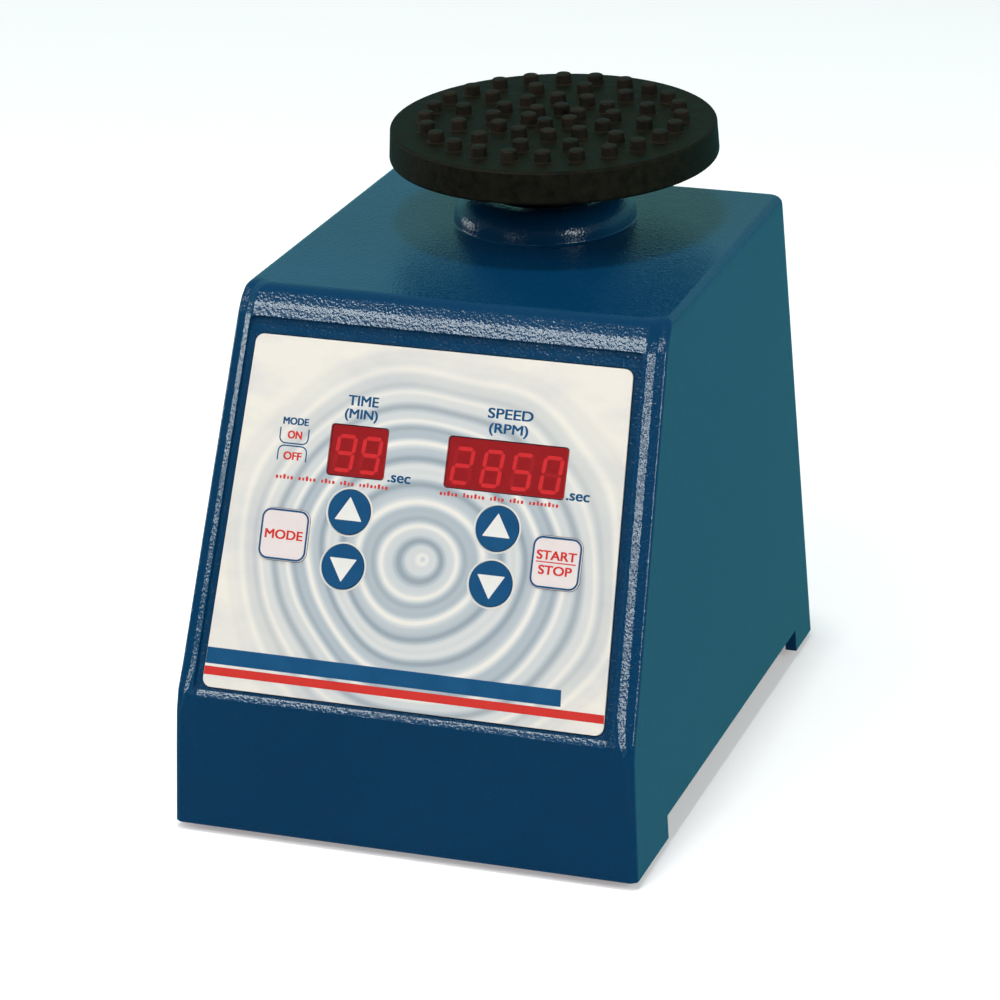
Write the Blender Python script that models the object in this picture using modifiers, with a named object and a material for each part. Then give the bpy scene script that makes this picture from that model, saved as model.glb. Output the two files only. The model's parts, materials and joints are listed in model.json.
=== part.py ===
"""Digital vortex mixer: sloped desktop housing, key panel, motor drive and orbiting platform head.

Units are metres, +Z is up, the front faces -Y and the origin is on the support surface
under the middle of the housing.
"""

import math

import bmesh
import bpy
from mathutils import Euler, Matrix, Vector

GAP = 0.0003
WELD = 0.00001

# Housing: the front has a low upright face, then a long slope that carries the panel.
FOOT_CLEARANCE = 0.002
HOUSING_DEPTH = 0.158
HOUSING_HEIGHT = 0.126
HALF_WIDTH_FRONT = 0.06075
TAPER_BACK = 0.020
DRAFT_UP = 0.0324
BEND_SETBACK = 0.0023
BEND_HEIGHT = 0.0345
TOP_FRONT_SETBACK = 0.046
TOP_REAR_SETBACK = 0.1485
WALL = 0.003
EDGE_RADIUS = 0.003
SKIRT_CUT_HEIGHT = 0.006
SKIRT_CUT_FRONT = -0.053
SKIRT_CUT_REAR = 0.062

# Panel: places are (u across, v up the slope) from the middle of the bend line.
PANEL_SHIFT = -0.0005
LABEL_HALF_BOTTOM = 0.05225
LABEL_HALF_TOP = 0.0490
LABEL_BOTTOM = 0.0023
LABEL_TOP = 0.09025
LABEL_RADIUS = 0.0022
RECESS_DEPTH = 0.0010
RECESS_SIDE = 0.0023
RECESS_TOP = 0.0038
RECESS_BOTTOM = 0.0013
POCKET_DEPTH = 0.0015
OVERLAY_THICKNESS = 0.0006
WINDOW_HEIGHT = 0.0128
WINDOW_CENTRE_V = 0.0637
TIME_WINDOW_WIDTH = 0.0152
TIME_WINDOW_U = -0.0188
SPEED_WINDOW_WIDTH = 0.0311
SPEED_WINDOW_U = 0.01985
WINDOW_LEDGE = 0.0007
ROUND_KEY_RADIUS = 0.0055
SQUARE_KEY_SIZE = 0.0128
SQUARE_KEY_RADIUS = 0.0026
TIME_KEY_U = -0.0190
SPEED_KEY_U = 0.0195
KEY_UP_V = 0.0483
KEY_DOWN_V = 0.0349
MODE_KEY_PLACE = (-0.0353, 0.0411)
START_KEY_PLACE = (0.03545, 0.0417)
KEY_THICKNESS = 0.00065
KEY_PROUD = 0.0004
KEY_STEM_RADIUS = 0.0022
KEY_STEM_END = -0.0049
BOARD_FACE = -0.0105
BOARD_THICKNESS = 0.0016
BOARD_SIZE = (0.092, 0.054)
BOARD_V = 0.053

# Drive: everything that turns is on one upright axis behind the panel.
MOTOR_Y = 0.036
ORBIT_OFFSET = 0.003
SHAFT_RADIUS = 0.003
STATOR_RADIUS = 0.031
STATOR_BOTTOM = 0.042
STATOR_TOP = 0.064
ROTOR_RADIUS = 0.015
BOLT_CIRCLE = 0.027
BOLT_RADIUS = 0.002

# Head: boss on the housing, stem, disc and the studded rubber cover.
BOSS_RADIUS = 0.0234
BOSS_HEIGHT = 0.007
BOSS_HOLE = 0.0136
STEM_RADIUS = 0.0085
COVER_TOP = 0.1537
COVER_DEPTH = 0.0085
COVER_RADIUS_TOP = 0.0415
COVER_RADIUS_BOTTOM = 0.0420
COVER_SKIN = 0.0027
DISC_RADIUS = 0.0380
STUD_RADIUS = 0.0021
STUD_HEIGHT = 0.0027
STUD_RINGS = ((24, 0.0325, 0.0), (12, 0.0243, 0.0), (12, 0.0152, 15.0), (6, 0.0063, 30.0))

# Base: plate, screws, feet and the power entry in the rear wall.
PLATE_BOTTOM = 0.0083
PLATE_THICKNESS = 0.002
PLATE_FRONT = -0.0748
PLATE_REAR = 0.0750
FOOT_RADIUS = 0.008
FOOT_PLACES = {"front_left": (-0.044, -0.062), "front_right": (0.044, -0.062),
               "rear_left": (-0.042, 0.062), "rear_right": (0.042, 0.062)}
POST_RADIUS = 0.0045
POST_TOP = 0.034
POST_PLACES = {"front_left": (-0.0530, -0.045), "front_right": (0.0530, -0.045),
               "rear_left": (-0.0510, 0.045), "rear_right": (0.0510, 0.045)}
SCREW_RADIUS = 0.0017
SCREW_TOP = 0.0258
VENT_RADIUS = 0.0028
VENT_CIRCLE = 0.013
PILLAR_TOP = 0.0267
POWER_BOARD_TOP = 0.0196
POWER_BOARD_Y = -0.034
SHAFT_END = 0.0160
INLET_X = 0.0345
INLET_HEIGHT = 0.040
INLET_OPENING = (0.0270, 0.0200)

HALF_DEPTH = HOUSING_DEPTH / 2
HOUSING_TOP = FOOT_CLEARANCE + HOUSING_HEIGHT
PLATE_TOP = PLATE_BOTTOM + PLATE_THICKNESS
BEND_Y = -HALF_DEPTH + BEND_SETBACK
BEND_Z = FOOT_CLEARANCE + BEND_HEIGHT
SLOPE_RISE = HOUSING_HEIGHT - BEND_HEIGHT
SLOPE_RUN = TOP_FRONT_SETBACK - BEND_SETBACK
PANEL_TILT = math.atan2(SLOPE_RISE, SLOPE_RUN)
REAR_LEAN = math.atan2(HOUSING_DEPTH - TOP_REAR_SETBACK, HOUSING_HEIGHT)


def clear_objects():
    for item in list(bpy.data.objects):
        bpy.data.objects.remove(item, do_unlink=True)


def new_collection(name):
    collection = bpy.data.collections.new(name)
    bpy.context.scene.collection.children.link(collection)
    return collection


def finish_material(name, colour, roughness, metallic=0.0):
    material = bpy.data.materials.get(name)
    if material is None:
        material = bpy.data.materials.new(name)
        material.use_nodes = True
        shader = material.node_tree.nodes["Principled BSDF"]
        shader.inputs["Base Color"].default_value = (*colour, 1.0)
        shader.inputs["Roughness"].default_value = roughness
        shader.inputs["Metallic"].default_value = metallic
        material.diffuse_color = (*colour, 1.0)
    return material


def painted_blue():
    return finish_material("painted_blue", (0.012, 0.085, 0.190), 0.35)


def zinc_steel():
    return finish_material("zinc_steel", (0.55, 0.56, 0.57), 0.35, 0.9)


def bearing_steel():
    return finish_material("bearing_steel", (0.62, 0.63, 0.65), 0.2, 1.0)


def lamination_steel():
    return finish_material("lamination_steel", (0.30, 0.31, 0.33), 0.45, 0.8)


def cast_aluminium():
    return finish_material("cast_aluminium", (0.60, 0.61, 0.62), 0.45, 0.9)


def black_rubber():
    return finish_material("black_rubber", (0.015, 0.016, 0.012), 0.75)


def black_plastic():
    return finish_material("black_plastic", (0.02, 0.02, 0.022), 0.4)


def grey_plastic():
    return finish_material("grey_plastic", (0.22, 0.23, 0.24), 0.5)


def circuit_green():
    return finish_material("circuit_green", (0.02, 0.16, 0.07), 0.4)


def copper_wire():
    return finish_material("copper_wire", (0.60, 0.24, 0.09), 0.35, 0.9)


def panel_white():
    return finish_material("panel_white", (0.82, 0.81, 0.78), 0.45)


def key_blue():
    return finish_material("key_blue", (0.008, 0.10, 0.27), 0.4)


def key_white():
    return finish_material("key_white", (0.85, 0.80, 0.78), 0.45)


def filter_red():
    return finish_material("filter_red", (0.35, 0.012, 0.016), 0.15)


def link_object(name, mesh, material, parent=None):
    item = bpy.data.objects.new(name, mesh)
    mesh.materials.clear()
    mesh.materials.append(material)
    PARTS.objects.link(item)
    item.parent = parent
    return item


def link_helper(name, mesh, parent=None):
    item = bpy.data.objects.new(name, mesh)
    CUTTERS.objects.link(item)
    item.parent = parent
    item.hide_render = True
    item.display_type = "WIRE"
    return item


def smooth(item):
    item.data.shade_smooth()
    item.data.set_sharp_from_angle(angle=math.radians(35))


def box_mesh(size, centre=(0, 0, 0)):
    shape = bmesh.new()
    bmesh.ops.create_cube(shape, size=1.0)
    bmesh.ops.scale(shape, vec=size, verts=shape.verts)
    bmesh.ops.translate(shape, vec=centre, verts=shape.verts)
    return to_mesh(shape, "box")


def cylinder_mesh(radius, bottom, top, steps=24, centre=(0, 0)):
    shape = bmesh.new()
    bmesh.ops.create_cone(shape, cap_ends=True, segments=steps, radius1=radius, radius2=radius,
                          depth=top - bottom)
    bmesh.ops.translate(shape, vec=(centre[0], centre[1], (top + bottom) / 2), verts=shape.verts)
    return to_mesh(shape, "cylinder")


def to_mesh(shape, name):
    mesh = bpy.data.meshes.new(name)
    shape.to_mesh(mesh)
    shape.free()
    return mesh


def turned_mesh(profile):
    """Profile of (radius, height) points; a closed ring unless both ends lie on the axis."""
    mesh = bpy.data.meshes.new("profile")
    points = [(radius, 0, height) for radius, height in profile]
    edges = [(i, i + 1) for i in range(len(points) - 1)]
    if profile[0][0] > 0 or profile[-1][0] > 0:
        edges.append((len(points) - 1, 0))
    mesh.from_pydata(points, edges, [])
    return mesh


def add_screw(item, steps):
    turn = item.modifiers.new("turn", "SCREW")
    turn.steps = steps
    turn.render_steps = steps
    turn.use_merge_vertices = True
    turn.merge_threshold = WELD
    turn.use_smooth_shade = True


def turned(name, profile, material, steps=24, parent=None):
    item = link_object(name, turned_mesh(profile), material, parent)
    add_screw(item, steps)
    return item


def turned_helper(name, profile, steps=24, parent=None):
    item = link_helper(name, turned_mesh(profile), parent)
    add_screw(item, steps)
    return item


def ring_profile(inner, outer, bottom, top):
    return ((outer, top), (outer, bottom), (inner, bottom), (inner, top))


def boolean(item, tool, operation):
    step = item.modifiers.new(tool.name, "BOOLEAN")
    step.operation = operation
    step.solver = "EXACT"
    step.object = tool


def cut(item, tool):
    boolean(item, tool, "DIFFERENCE")


def fuse(item, tool):
    boolean(item, tool, "UNION")


def bevel(item, width, segments=2):
    """Rounds the edges that carry a bevel weight."""
    step = item.modifiers.new("edges", "BEVEL")
    step.width = width
    step.segments = segments
    step.limit_method = "WEIGHT"


def rounded_outline(corners, radius, steps=3):
    """Points round a polygon, each corner replaced by an arc tangent to its two sides."""
    points = []
    count = len(corners)
    for i in range(count):
        here = Vector(corners[i])
        back = (Vector(corners[i - 1]) - here).normalized()
        ahead = (Vector(corners[(i + 1) % count]) - here).normalized()
        half = back.angle(ahead) / 2
        reach = radius / math.tan(half)
        centre = here + (back + ahead).normalized() * (radius / math.sin(half))
        start = here + back * reach - centre
        sweep = (here + ahead * reach - centre).angle_signed(start)
        for k in range(steps + 1):
            angle = sweep * k / steps
            spun = Matrix.Rotation(angle, 2) @ start
            points.append(tuple(centre + spun))
    return points


def rounded_rectangle(width, height, radius, centre=(0, 0)):
    x, y = centre
    corners = ((x - width / 2, y - height / 2), (x + width / 2, y - height / 2),
               (x + width / 2, y + height / 2), (x - width / 2, y + height / 2))
    return rounded_outline(corners, radius)


def circle_outline(radius, centre=(0, 0), steps=20):
    return [(centre[0] + radius * math.cos(2 * math.pi * i / steps),
             centre[1] + radius * math.sin(2 * math.pi * i / steps)) for i in range(steps)]


def outline_mesh(outlines, bottom, top):
    """Flat outlines, the later ones holes in the first, as a closed slab from bottom to top."""
    curve = bpy.data.curves.new("outline", "CURVE")
    curve.dimensions = "2D"
    curve.fill_mode = "BOTH"
    curve.extrude = (top - bottom) / 2
    for outline in outlines:
        spline = curve.splines.new("POLY")
        spline.points.add(len(outline) - 1)
        for point, (x, y) in zip(spline.points, outline):
            point.co = (x, y, 0, 1)
        spline.use_cyclic_u = True
    item = bpy.data.objects.new("outline", curve)
    PARTS.objects.link(item)
    bpy.context.view_layer.update()
    evaluated = item.evaluated_get(bpy.context.evaluated_depsgraph_get())
    mesh = bpy.data.meshes.new_from_object(evaluated)
    bpy.data.objects.remove(item, do_unlink=True)
    shape = bmesh.new()
    shape.from_mesh(mesh)
    bmesh.ops.remove_doubles(shape, verts=shape.verts, dist=WELD)
    bmesh.ops.translate(shape, vec=(0, 0, (top + bottom) / 2), verts=shape.verts)
    bmesh.ops.recalc_face_normals(shape, faces=shape.faces)
    shape.to_mesh(mesh)
    shape.free()
    return mesh


def empty(name, location, rotation=(0, 0, 0), parent=None):
    item = bpy.data.objects.new(name, None)
    item.empty_display_size = 0.01
    PARTS.objects.link(item)
    item.parent = parent
    item.location = location
    item.rotation_euler = Euler(rotation)
    return item


def half_width(y, z):
    return HALF_WIDTH_FRONT - TAPER_BACK * (y + HALF_DEPTH) - DRAFT_UP * (z - FOOT_CLEARANCE)


def side_profile(inset):
    """Side outline (y, z) of the housing, moved inwards by the inset; an inset body runs out below."""
    points = [Vector((-HALF_DEPTH, FOOT_CLEARANCE)), Vector((BEND_Y, BEND_Z)),
              Vector((-HALF_DEPTH + TOP_FRONT_SETBACK, HOUSING_TOP)),
              Vector((-HALF_DEPTH + TOP_REAR_SETBACK, HOUSING_TOP)), Vector((HALF_DEPTH, FOOT_CLEARANCE))]
    lines = []
    for start, end in zip(points, points[1:] + points[:1]):
        run = (end - start).normalized()
        inward = Vector((run.y, -run.x))
        move = inward * inset
        if end == points[0]:
            move = -inward * inset
        lines.append((start + move, run))
    moved = []
    for (p, d), (q, e) in zip(lines[-1:] + lines[:-1], lines):
        reach = (q - p).cross(e) / d.cross(e)
        moved.append(p + d * reach)
    return moved


def housing_body(inset):
    """The side outline extruded across, then each side drawn in to the tapered, drafted width."""
    shape = bmesh.new()
    face = shape.faces.new([shape.verts.new((-1, p.x, p.y)) for p in side_profile(inset)])
    grown = bmesh.ops.extrude_face_region(shape, geom=[face])
    far_side = [v for v in grown["geom"] if isinstance(v, bmesh.types.BMVert)]
    bmesh.ops.translate(shape, vec=(2, 0, 0), verts=far_side)
    for vert in shape.verts:
        vert.co.x *= half_width(vert.co.y, vert.co.z) - inset
    weight = shape.edges.layers.float.new("bevel_weight_edge")
    for edge in shape.edges:
        edge[weight] = float(max(v.co.z for v in edge.verts) > FOOT_CLEARANCE + WELD)
    bmesh.ops.recalc_face_normals(shape, faces=shape.faces)
    return to_mesh(shape, "housing_body")


def panel_half_width(v, margin=0.0):
    slope = (LABEL_HALF_BOTTOM - LABEL_HALF_TOP) / (LABEL_TOP - LABEL_BOTTOM)
    return LABEL_HALF_BOTTOM - slope * (v - LABEL_BOTTOM) + margin


def panel_outline(side, below, above, radius):
    bottom = LABEL_BOTTOM - below
    top = LABEL_TOP + above
    low = panel_half_width(bottom, side)
    high = panel_half_width(top, side)
    return rounded_outline(((-low, bottom), (low, bottom), (high, top), (-high, top)), radius)


def key_places():
    return {
        "time_up_key": (TIME_KEY_U, KEY_UP_V),
        "time_down_key": (TIME_KEY_U, KEY_DOWN_V),
        "speed_up_key": (SPEED_KEY_U, KEY_UP_V),
        "speed_down_key": (SPEED_KEY_U, KEY_DOWN_V),
        "mode_key": MODE_KEY_PLACE,
        "start_stop_key": START_KEY_PLACE,
    }


def is_round(key):
    return key.startswith(("time", "speed"))


def key_outline(key, place, shrink):
    if is_round(key):
        return circle_outline(ROUND_KEY_RADIUS - shrink, place, 24)
    size = SQUARE_KEY_SIZE - 2 * shrink
    return rounded_rectangle(size, size, SQUARE_KEY_RADIUS - shrink, place)


def window_places():
    return {"time": (TIME_WINDOW_U, TIME_WINDOW_WIDTH), "speed": (SPEED_WINDOW_U, SPEED_WINDOW_WIDTH)}


def window_outline(u, width, shrink):
    return rounded_rectangle(width - 2 * shrink, WINDOW_HEIGHT - 2 * shrink, 0.0007,
                             (u, WINDOW_CENTRE_V))


def bolt_places():
    reach = BOLT_CIRCLE * math.sqrt(0.5)
    return [(x * reach, MOTOR_Y + y * reach) for x, y in ((-1, -1), (1, -1), (1, 1), (-1, 1))]


def make_housing(panel, rear):
    shell = link_object("housing_shell", housing_body(0), painted_blue())
    bevel(shell, EDGE_RADIUS, 3)
    cut(shell, link_helper("housing_inside", housing_body(WALL)))
    skirt = box_mesh((0.2, SKIRT_CUT_REAR - SKIRT_CUT_FRONT, 2 * SKIRT_CUT_HEIGHT),
                     (0, (SKIRT_CUT_REAR + SKIRT_CUT_FRONT) / 2, FOOT_CLEARANCE))
    cut(shell, link_helper("skirt_cut", skirt))
    for name, (x, y) in POST_PLACES.items():
        post = cylinder_mesh(POST_RADIUS, PLATE_TOP + GAP, POST_TOP, 12, (x, y))
        fuse(shell, link_helper("post_" + name, post))
        bore = cylinder_mesh(SCREW_RADIUS + GAP, 0, SCREW_TOP + 0.0012, 8, (x, y))
        cut(shell, link_helper("post_bore_" + name, bore))
    make_boss(shell)
    cut_panel_openings(shell, panel)
    opening = outline_mesh([rounded_rectangle(*INLET_OPENING, 0.001)], -0.010, 0.010)
    cut(shell, link_helper("inlet_opening", opening, rear))
    smooth(shell)


def make_boss(shell):
    base = HOUSING_TOP - WALL / 2
    top = HOUSING_TOP + BOSS_HEIGHT
    turn = 0.0035
    arc = [(BOSS_RADIUS - turn + turn * math.sin(a), top - turn + turn * math.cos(a))
           for a in (math.radians(22.5 * k) for k in range(5))]
    centre = empty("boss_centre", (0, MOTOR_Y, 0))
    profile = [(0, top)] + arc + [(BOSS_RADIUS, base), (0, base)]
    fuse(shell, turned_helper("boss", profile, 40, centre))
    hole = cylinder_mesh(BOSS_HOLE, HOUSING_TOP - 0.01, top + 0.01, 32)
    cut(shell, link_helper("boss_hole", hole, centre))


def cut_panel_openings(shell, panel):
    recess = outline_mesh([panel_outline(RECESS_SIDE, RECESS_BOTTOM, RECESS_TOP, 0.003)],
                          -RECESS_DEPTH, 0.006)
    cut(shell, link_helper("panel_recess", recess, panel))
    pocket = outline_mesh([panel_outline(GAP, GAP, GAP, LABEL_RADIUS + GAP)], -POCKET_DEPTH, 0.006)
    cut(shell, link_helper("panel_pocket", pocket, panel))
    for u, v in board_boss_places():
        boss = cylinder_mesh(0.003, BOARD_FACE + GAP, -WALL + 0.0005, 8, (u, v))
        fuse(shell, link_helper("board_boss", boss, panel))
    for key, place in key_places().items():
        hole = cylinder_mesh(KEY_STEM_RADIUS + 2 * GAP, -0.006, 0.004, 12, place)
        cut(shell, link_helper(key + "_hole", hole, panel))
    for name, (u, width) in window_places().items():
        opening = outline_mesh([window_outline(u, width, WINDOW_LEDGE)], -0.006, 0.004)
        cut(shell, link_helper(name + "_opening", opening, panel))


def board_boss_places():
    u = BOARD_SIZE[0] / 2 - 0.004
    v = BOARD_SIZE[1] / 2 - 0.004
    return [(x * u, BOARD_V + y * v) for x, y in ((-1, -1), (1, -1), (1, 1), (-1, 1))]


def make_panel(panel):
    openings = [key_outline(key, place, 0) for key, place in key_places().items()]
    openings += [window_outline(u, width, 0) for u, width in window_places().values()]
    bottom = -POCKET_DEPTH + GAP
    top = bottom + OVERLAY_THICKNESS
    outline = panel_outline(0, 0, 0, LABEL_RADIUS)
    link_object("panel_overlay", outline_mesh([outline] + openings, bottom, top), panel_white(), panel)
    for name, (u, width) in window_places().items():
        pane = outline_mesh([window_outline(u, width, GAP)], bottom, top)
        link_object(name + "_window", pane, filter_red(), panel)
        block = box_mesh((width - 2 * WINDOW_LEDGE - 2 * GAP, WINDOW_HEIGHT - 2 * WINDOW_LEDGE - 2 * GAP,
                          bottom - GAP - BOARD_FACE - GAP),
                         (u, WINDOW_CENTRE_V, (bottom + BOARD_FACE) / 2))
        link_object(name + "_display", block, black_plastic(), panel)
    for key, place in key_places().items():
        make_key(key, place, top, panel)


def make_key(key, place, overlay_top, panel):
    pivot = empty(key + "_axis", (place[0], place[1], 0), parent=panel)
    top = overlay_top + KEY_PROUD
    cap = outline_mesh([key_outline(key, (0, 0), GAP)], top - KEY_THICKNESS, top)
    item = link_object(key, cap, key_blue() if is_round(key) else key_white(), pivot)
    stem = cylinder_mesh(KEY_STEM_RADIUS, KEY_STEM_END, top - KEY_THICKNESS / 2, 12)
    fuse(item, link_helper(key + "_stem", stem, pivot))
    smooth(item)
    base = BOARD_FACE + GAP
    shoulder = base + 0.0036
    body = box_mesh((0.006, 0.006, shoulder - base), (0, 0, (base + shoulder) / 2))
    switch = link_object(key.replace("_key", "_switch"), body, black_plastic(), pivot)
    button = cylinder_mesh(0.0017, shoulder - 0.001, shoulder + 0.001, 8)
    fuse(switch, link_helper(key + "_button", button, pivot))


def make_boards(panel):
    board = box_mesh((*BOARD_SIZE, BOARD_THICKNESS), (0, BOARD_V, BOARD_FACE - BOARD_THICKNESS / 2))
    link_object("display_board", board, circuit_green(), panel)
    back = BOARD_FACE - BOARD_THICKNESS - GAP
    chip = box_mesh((0.014, 0.014, 0.002), (0, BOARD_V, back - 0.001))
    link_object("controller_chip", chip, black_plastic(), panel)
    board_top = POWER_BOARD_TOP
    power = box_mesh((0.088, 0.056, BOARD_THICKNESS), (0, POWER_BOARD_Y, board_top - BOARD_THICKNESS / 2))
    link_object("power_board", power, circuit_green())
    core = box_mesh((0.030, 0.026, 0.024), (-0.024, POWER_BOARD_Y - 0.002, board_top + GAP + 0.012))
    transformer = link_object("transformer", core, lamination_steel())
    coil = box_mesh((0.020, 0.036, 0.014), (-0.024, POWER_BOARD_Y - 0.002, board_top + 2 * GAP + 0.012))
    fuse(transformer, link_helper("transformer_coil", coil))
    centre = empty("capacitor_centre", (0.022, POWER_BOARD_Y - 0.002, board_top + GAP))
    can = ((0, 0.024), (0.0070, 0.024), (0.0075, 0.0235), (0.0075, 0), (0, 0))
    turned("filter_capacitor", can, black_plastic(), 20, centre)


def make_base():
    outline = []
    for side, y in ((-1, PLATE_FRONT), (1, PLATE_FRONT), (1, PLATE_REAR), (-1, PLATE_REAR)):
        outline.append((side * (half_width(y, PLATE_TOP) - WALL - 2 * GAP), y))
    holes = [circle_outline(SCREW_RADIUS + GAP, place, 8) for place in POST_PLACES.values()]
    for k in range(6):
        angle = math.radians(60 * k)
        vent = (VENT_CIRCLE * math.cos(angle), MOTOR_Y + VENT_CIRCLE * math.sin(angle))
        holes.append(circle_outline(VENT_RADIUS, vent, 10))
    slab = outline_mesh([rounded_outline(outline, 0.002)] + holes, PLATE_BOTTOM, PLATE_TOP)
    plate = link_object("base_plate", slab, zinc_steel())
    for x, y in bolt_places():
        pillar = cylinder_mesh(0.0050, PLATE_TOP - 0.0005, PILLAR_TOP, 12, (x, y))
        fuse(plate, link_helper("motor_pillar", pillar))
        bore = cylinder_mesh(BOLT_RADIUS + GAP, 0.0185, PILLAR_TOP + 0.003, 8, (x, y))
        cut(plate, link_helper("pillar_bore", bore))
    for x in (-0.038, 0.038):
        for y in (-0.055, -0.013):
            spacer = cylinder_mesh(0.003, PLATE_TOP - 0.0005,
                                   POWER_BOARD_TOP - BOARD_THICKNESS - GAP, 8, (x, y))
            fuse(plate, link_helper("board_spacer", spacer))
    for name, (x, y) in POST_PLACES.items():
        centre = empty("screw_axis_" + name, (x, y, 0))
        screw = ((0, SCREW_TOP), (SCREW_RADIUS, SCREW_TOP), (SCREW_RADIUS, PLATE_BOTTOM - GAP),
                 (0.0032, PLATE_BOTTOM - GAP), (0.0032, 0.0066), (0.0022, 0.0058), (0, 0.0058))
        turned("base_screw_" + name, screw, zinc_steel(), 12, centre)
    for name, (x, y) in FOOT_PLACES.items():
        centre = empty("foot_centre_" + name, (x, y, 0))
        foot = ((0, PLATE_BOTTOM - GAP), (FOOT_RADIUS, PLATE_BOTTOM - GAP), (FOOT_RADIUS, 0.0045),
                (FOOT_RADIUS - 0.0012, 0.0006), (FOOT_RADIUS - 0.0018, 0), (0, 0))
        turned("foot_" + name, foot, black_rubber(), 18, centre)


def make_motor():
    axis = empty("motor_axis", (0, MOTOR_Y, 0))
    bolts = [(x, y - MOTOR_Y) for x, y in bolt_places()]
    clearance = [circle_outline(BOLT_RADIUS + GAP, place, 8) for place in bolts]
    stack = outline_mesh([circle_outline(STATOR_RADIUS, steps=32),
                          circle_outline(ROTOR_RADIUS + 2 * GAP, steps=24)] + clearance,
                         STATOR_BOTTOM, STATOR_TOP)
    smooth(link_object("motor_stator", stack, lamination_steel(), axis))
    windings = {"winding_upper": (STATOR_TOP + GAP, 0.0715), "winding_lower": (0.0340, STATOR_BOTTOM - GAP)}
    for name, (bottom, top) in windings.items():
        mid = (bottom + top) / 2
        profile = ((0.0225, top), (0.0242, mid + 0.002), (0.0242, mid - 0.002), (0.0225, bottom),
                   (0.0190, bottom), (0.0172, mid - 0.002), (0.0172, mid + 0.002), (0.0190, top))
        turned(name, profile, copper_wire(), 20, axis)
    brackets = {"motor_bracket_upper": (0.0755, 0.0785, 0.0735, 0.0820),
                "motor_bracket_lower": (0.0270, 0.0300, 0.0245, 0.0330)}
    for name, (bottom, top, hub_bottom, hub_top) in brackets.items():
        plate = outline_mesh([circle_outline(STATOR_RADIUS, steps=32)] + clearance, bottom, top)
        bracket = link_object(name, plate, cast_aluminium(), axis)
        fuse(bracket, link_helper(name + "_hub", cylinder_mesh(0.0115, hub_bottom, hub_top, 20), axis))
        seat = cylinder_mesh(0.0084, hub_bottom - 0.001, hub_top + 0.001, 20)
        cut(bracket, link_helper(name + "_seat", seat, axis))
        smooth(bracket)
        ring = ring_profile(SHAFT_RADIUS + GAP, 0.0080, hub_bottom + 0.0005, hub_top - 0.0005)
        turned(name.replace("motor_bracket", "bearing"), ring, bearing_steel(), 20, axis)
    for index, place in enumerate(bolts):
        centre = empty("bolt_axis", (place[0], place[1], 0), parent=axis)
        bolt = ((0, 0.0824), (0.0030, 0.0824), (0.0035, 0.0820), (0.0035, 0.0788), (BOLT_RADIUS, 0.0788),
                (BOLT_RADIUS, 0.0190), (0, 0.0190))
        turned(f"motor_bolt_{index + 1}", bolt, zinc_steel(), 12, centre)


def make_rotor():
    spin = empty("spin_axis", (0, MOTOR_Y, 0))
    shaft = ((0, 0.0935), (0.0024, 0.0935), (SHAFT_RADIUS, 0.0929), (SHAFT_RADIUS, SHAFT_END + 0.0008),
             (0.0022, SHAFT_END), (0, SHAFT_END))
    turned("motor_shaft", shaft, bearing_steel(), 16, spin)
    core = ring_profile(SHAFT_RADIUS + GAP, ROTOR_RADIUS, STATOR_BOTTOM, STATOR_TOP)
    turned("rotor_core", core, lamination_steel(), 24, spin)
    make_fan(spin)
    crank = ((0.0140, 0.1040), (0.0160, 0.1025), (0.0160, 0.0870), (0.0145, 0.0855),
             (SHAFT_RADIUS + GAP, 0.0855), (SHAFT_RADIUS + GAP, 0.1040))
    hub = turned("eccentric_hub", crank, cast_aluminium(), 24, spin)
    pocket = cylinder_mesh(0.0094, 0.0942, 0.1060, 20, (ORBIT_OFFSET, 0))
    cut(hub, link_helper("bearing_pocket", pocket, spin))
    weight = [(0.0255 * math.cos(a), 0.0255 * math.sin(a))
              for a in (math.radians(105 + 15 * k) for k in range(11))]
    weight += [(0.0163 * math.cos(a), 0.0163 * math.sin(a))
               for a in (math.radians(255 - 15 * k) for k in range(11))]
    link_object("counterweight", outline_mesh([weight], 0.0865, 0.0945), zinc_steel(), spin)


def make_fan(spin):
    hub = ring_profile(SHAFT_RADIUS + GAP, 0.0070, 0.0175, 0.0225)
    fan = turned("cooling_fan", hub, grey_plastic(), 16, spin)
    for k in range(7):
        turn = Matrix.Rotation(math.radians(360 * k / 7), 4, "Z")
        pitch = Matrix.Rotation(math.radians(35), 4, "X")
        blade = box_mesh((0.0140, 0.0010, 0.0062))
        blade.transform(turn @ Matrix.Translation((0.0130, 0, 0.0200)) @ pitch)
        fuse(fan, link_helper("fan_blade", blade, spin))


def make_press():
    axis = empty("press_axis", (0, MOTOR_Y, 0))
    collar = ring_profile(SHAFT_RADIUS + GAP, 0.0080, 0.0385, STATOR_BOTTOM - GAP)
    turned("thrust_collar", collar, zinc_steel(), 16, axis)
    make_spring(axis)


def make_spring(axis):
    turns = 3
    wire = 0.0004
    radius = 0.0058
    low = 0.0333 + wire
    high = 0.0382 - wire
    count = turns * 12
    curve = bpy.data.curves.new("spring_path", "CURVE")
    curve.dimensions = "3D"
    curve.bevel_depth = wire
    curve.bevel_resolution = 1
    curve.use_fill_caps = True
    spline = curve.splines.new("POLY")
    spline.points.add(count)
    for i, point in enumerate(spline.points):
        angle = 2 * math.pi * turns * i / count
        height = low + (high - low) * i / count
        point.co = (radius * math.cos(angle), radius * math.sin(angle), height, 1)
    item = bpy.data.objects.new("return_spring", curve)
    curve.materials.append(bearing_steel())
    PARTS.objects.link(item)
    item.parent = axis


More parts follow.
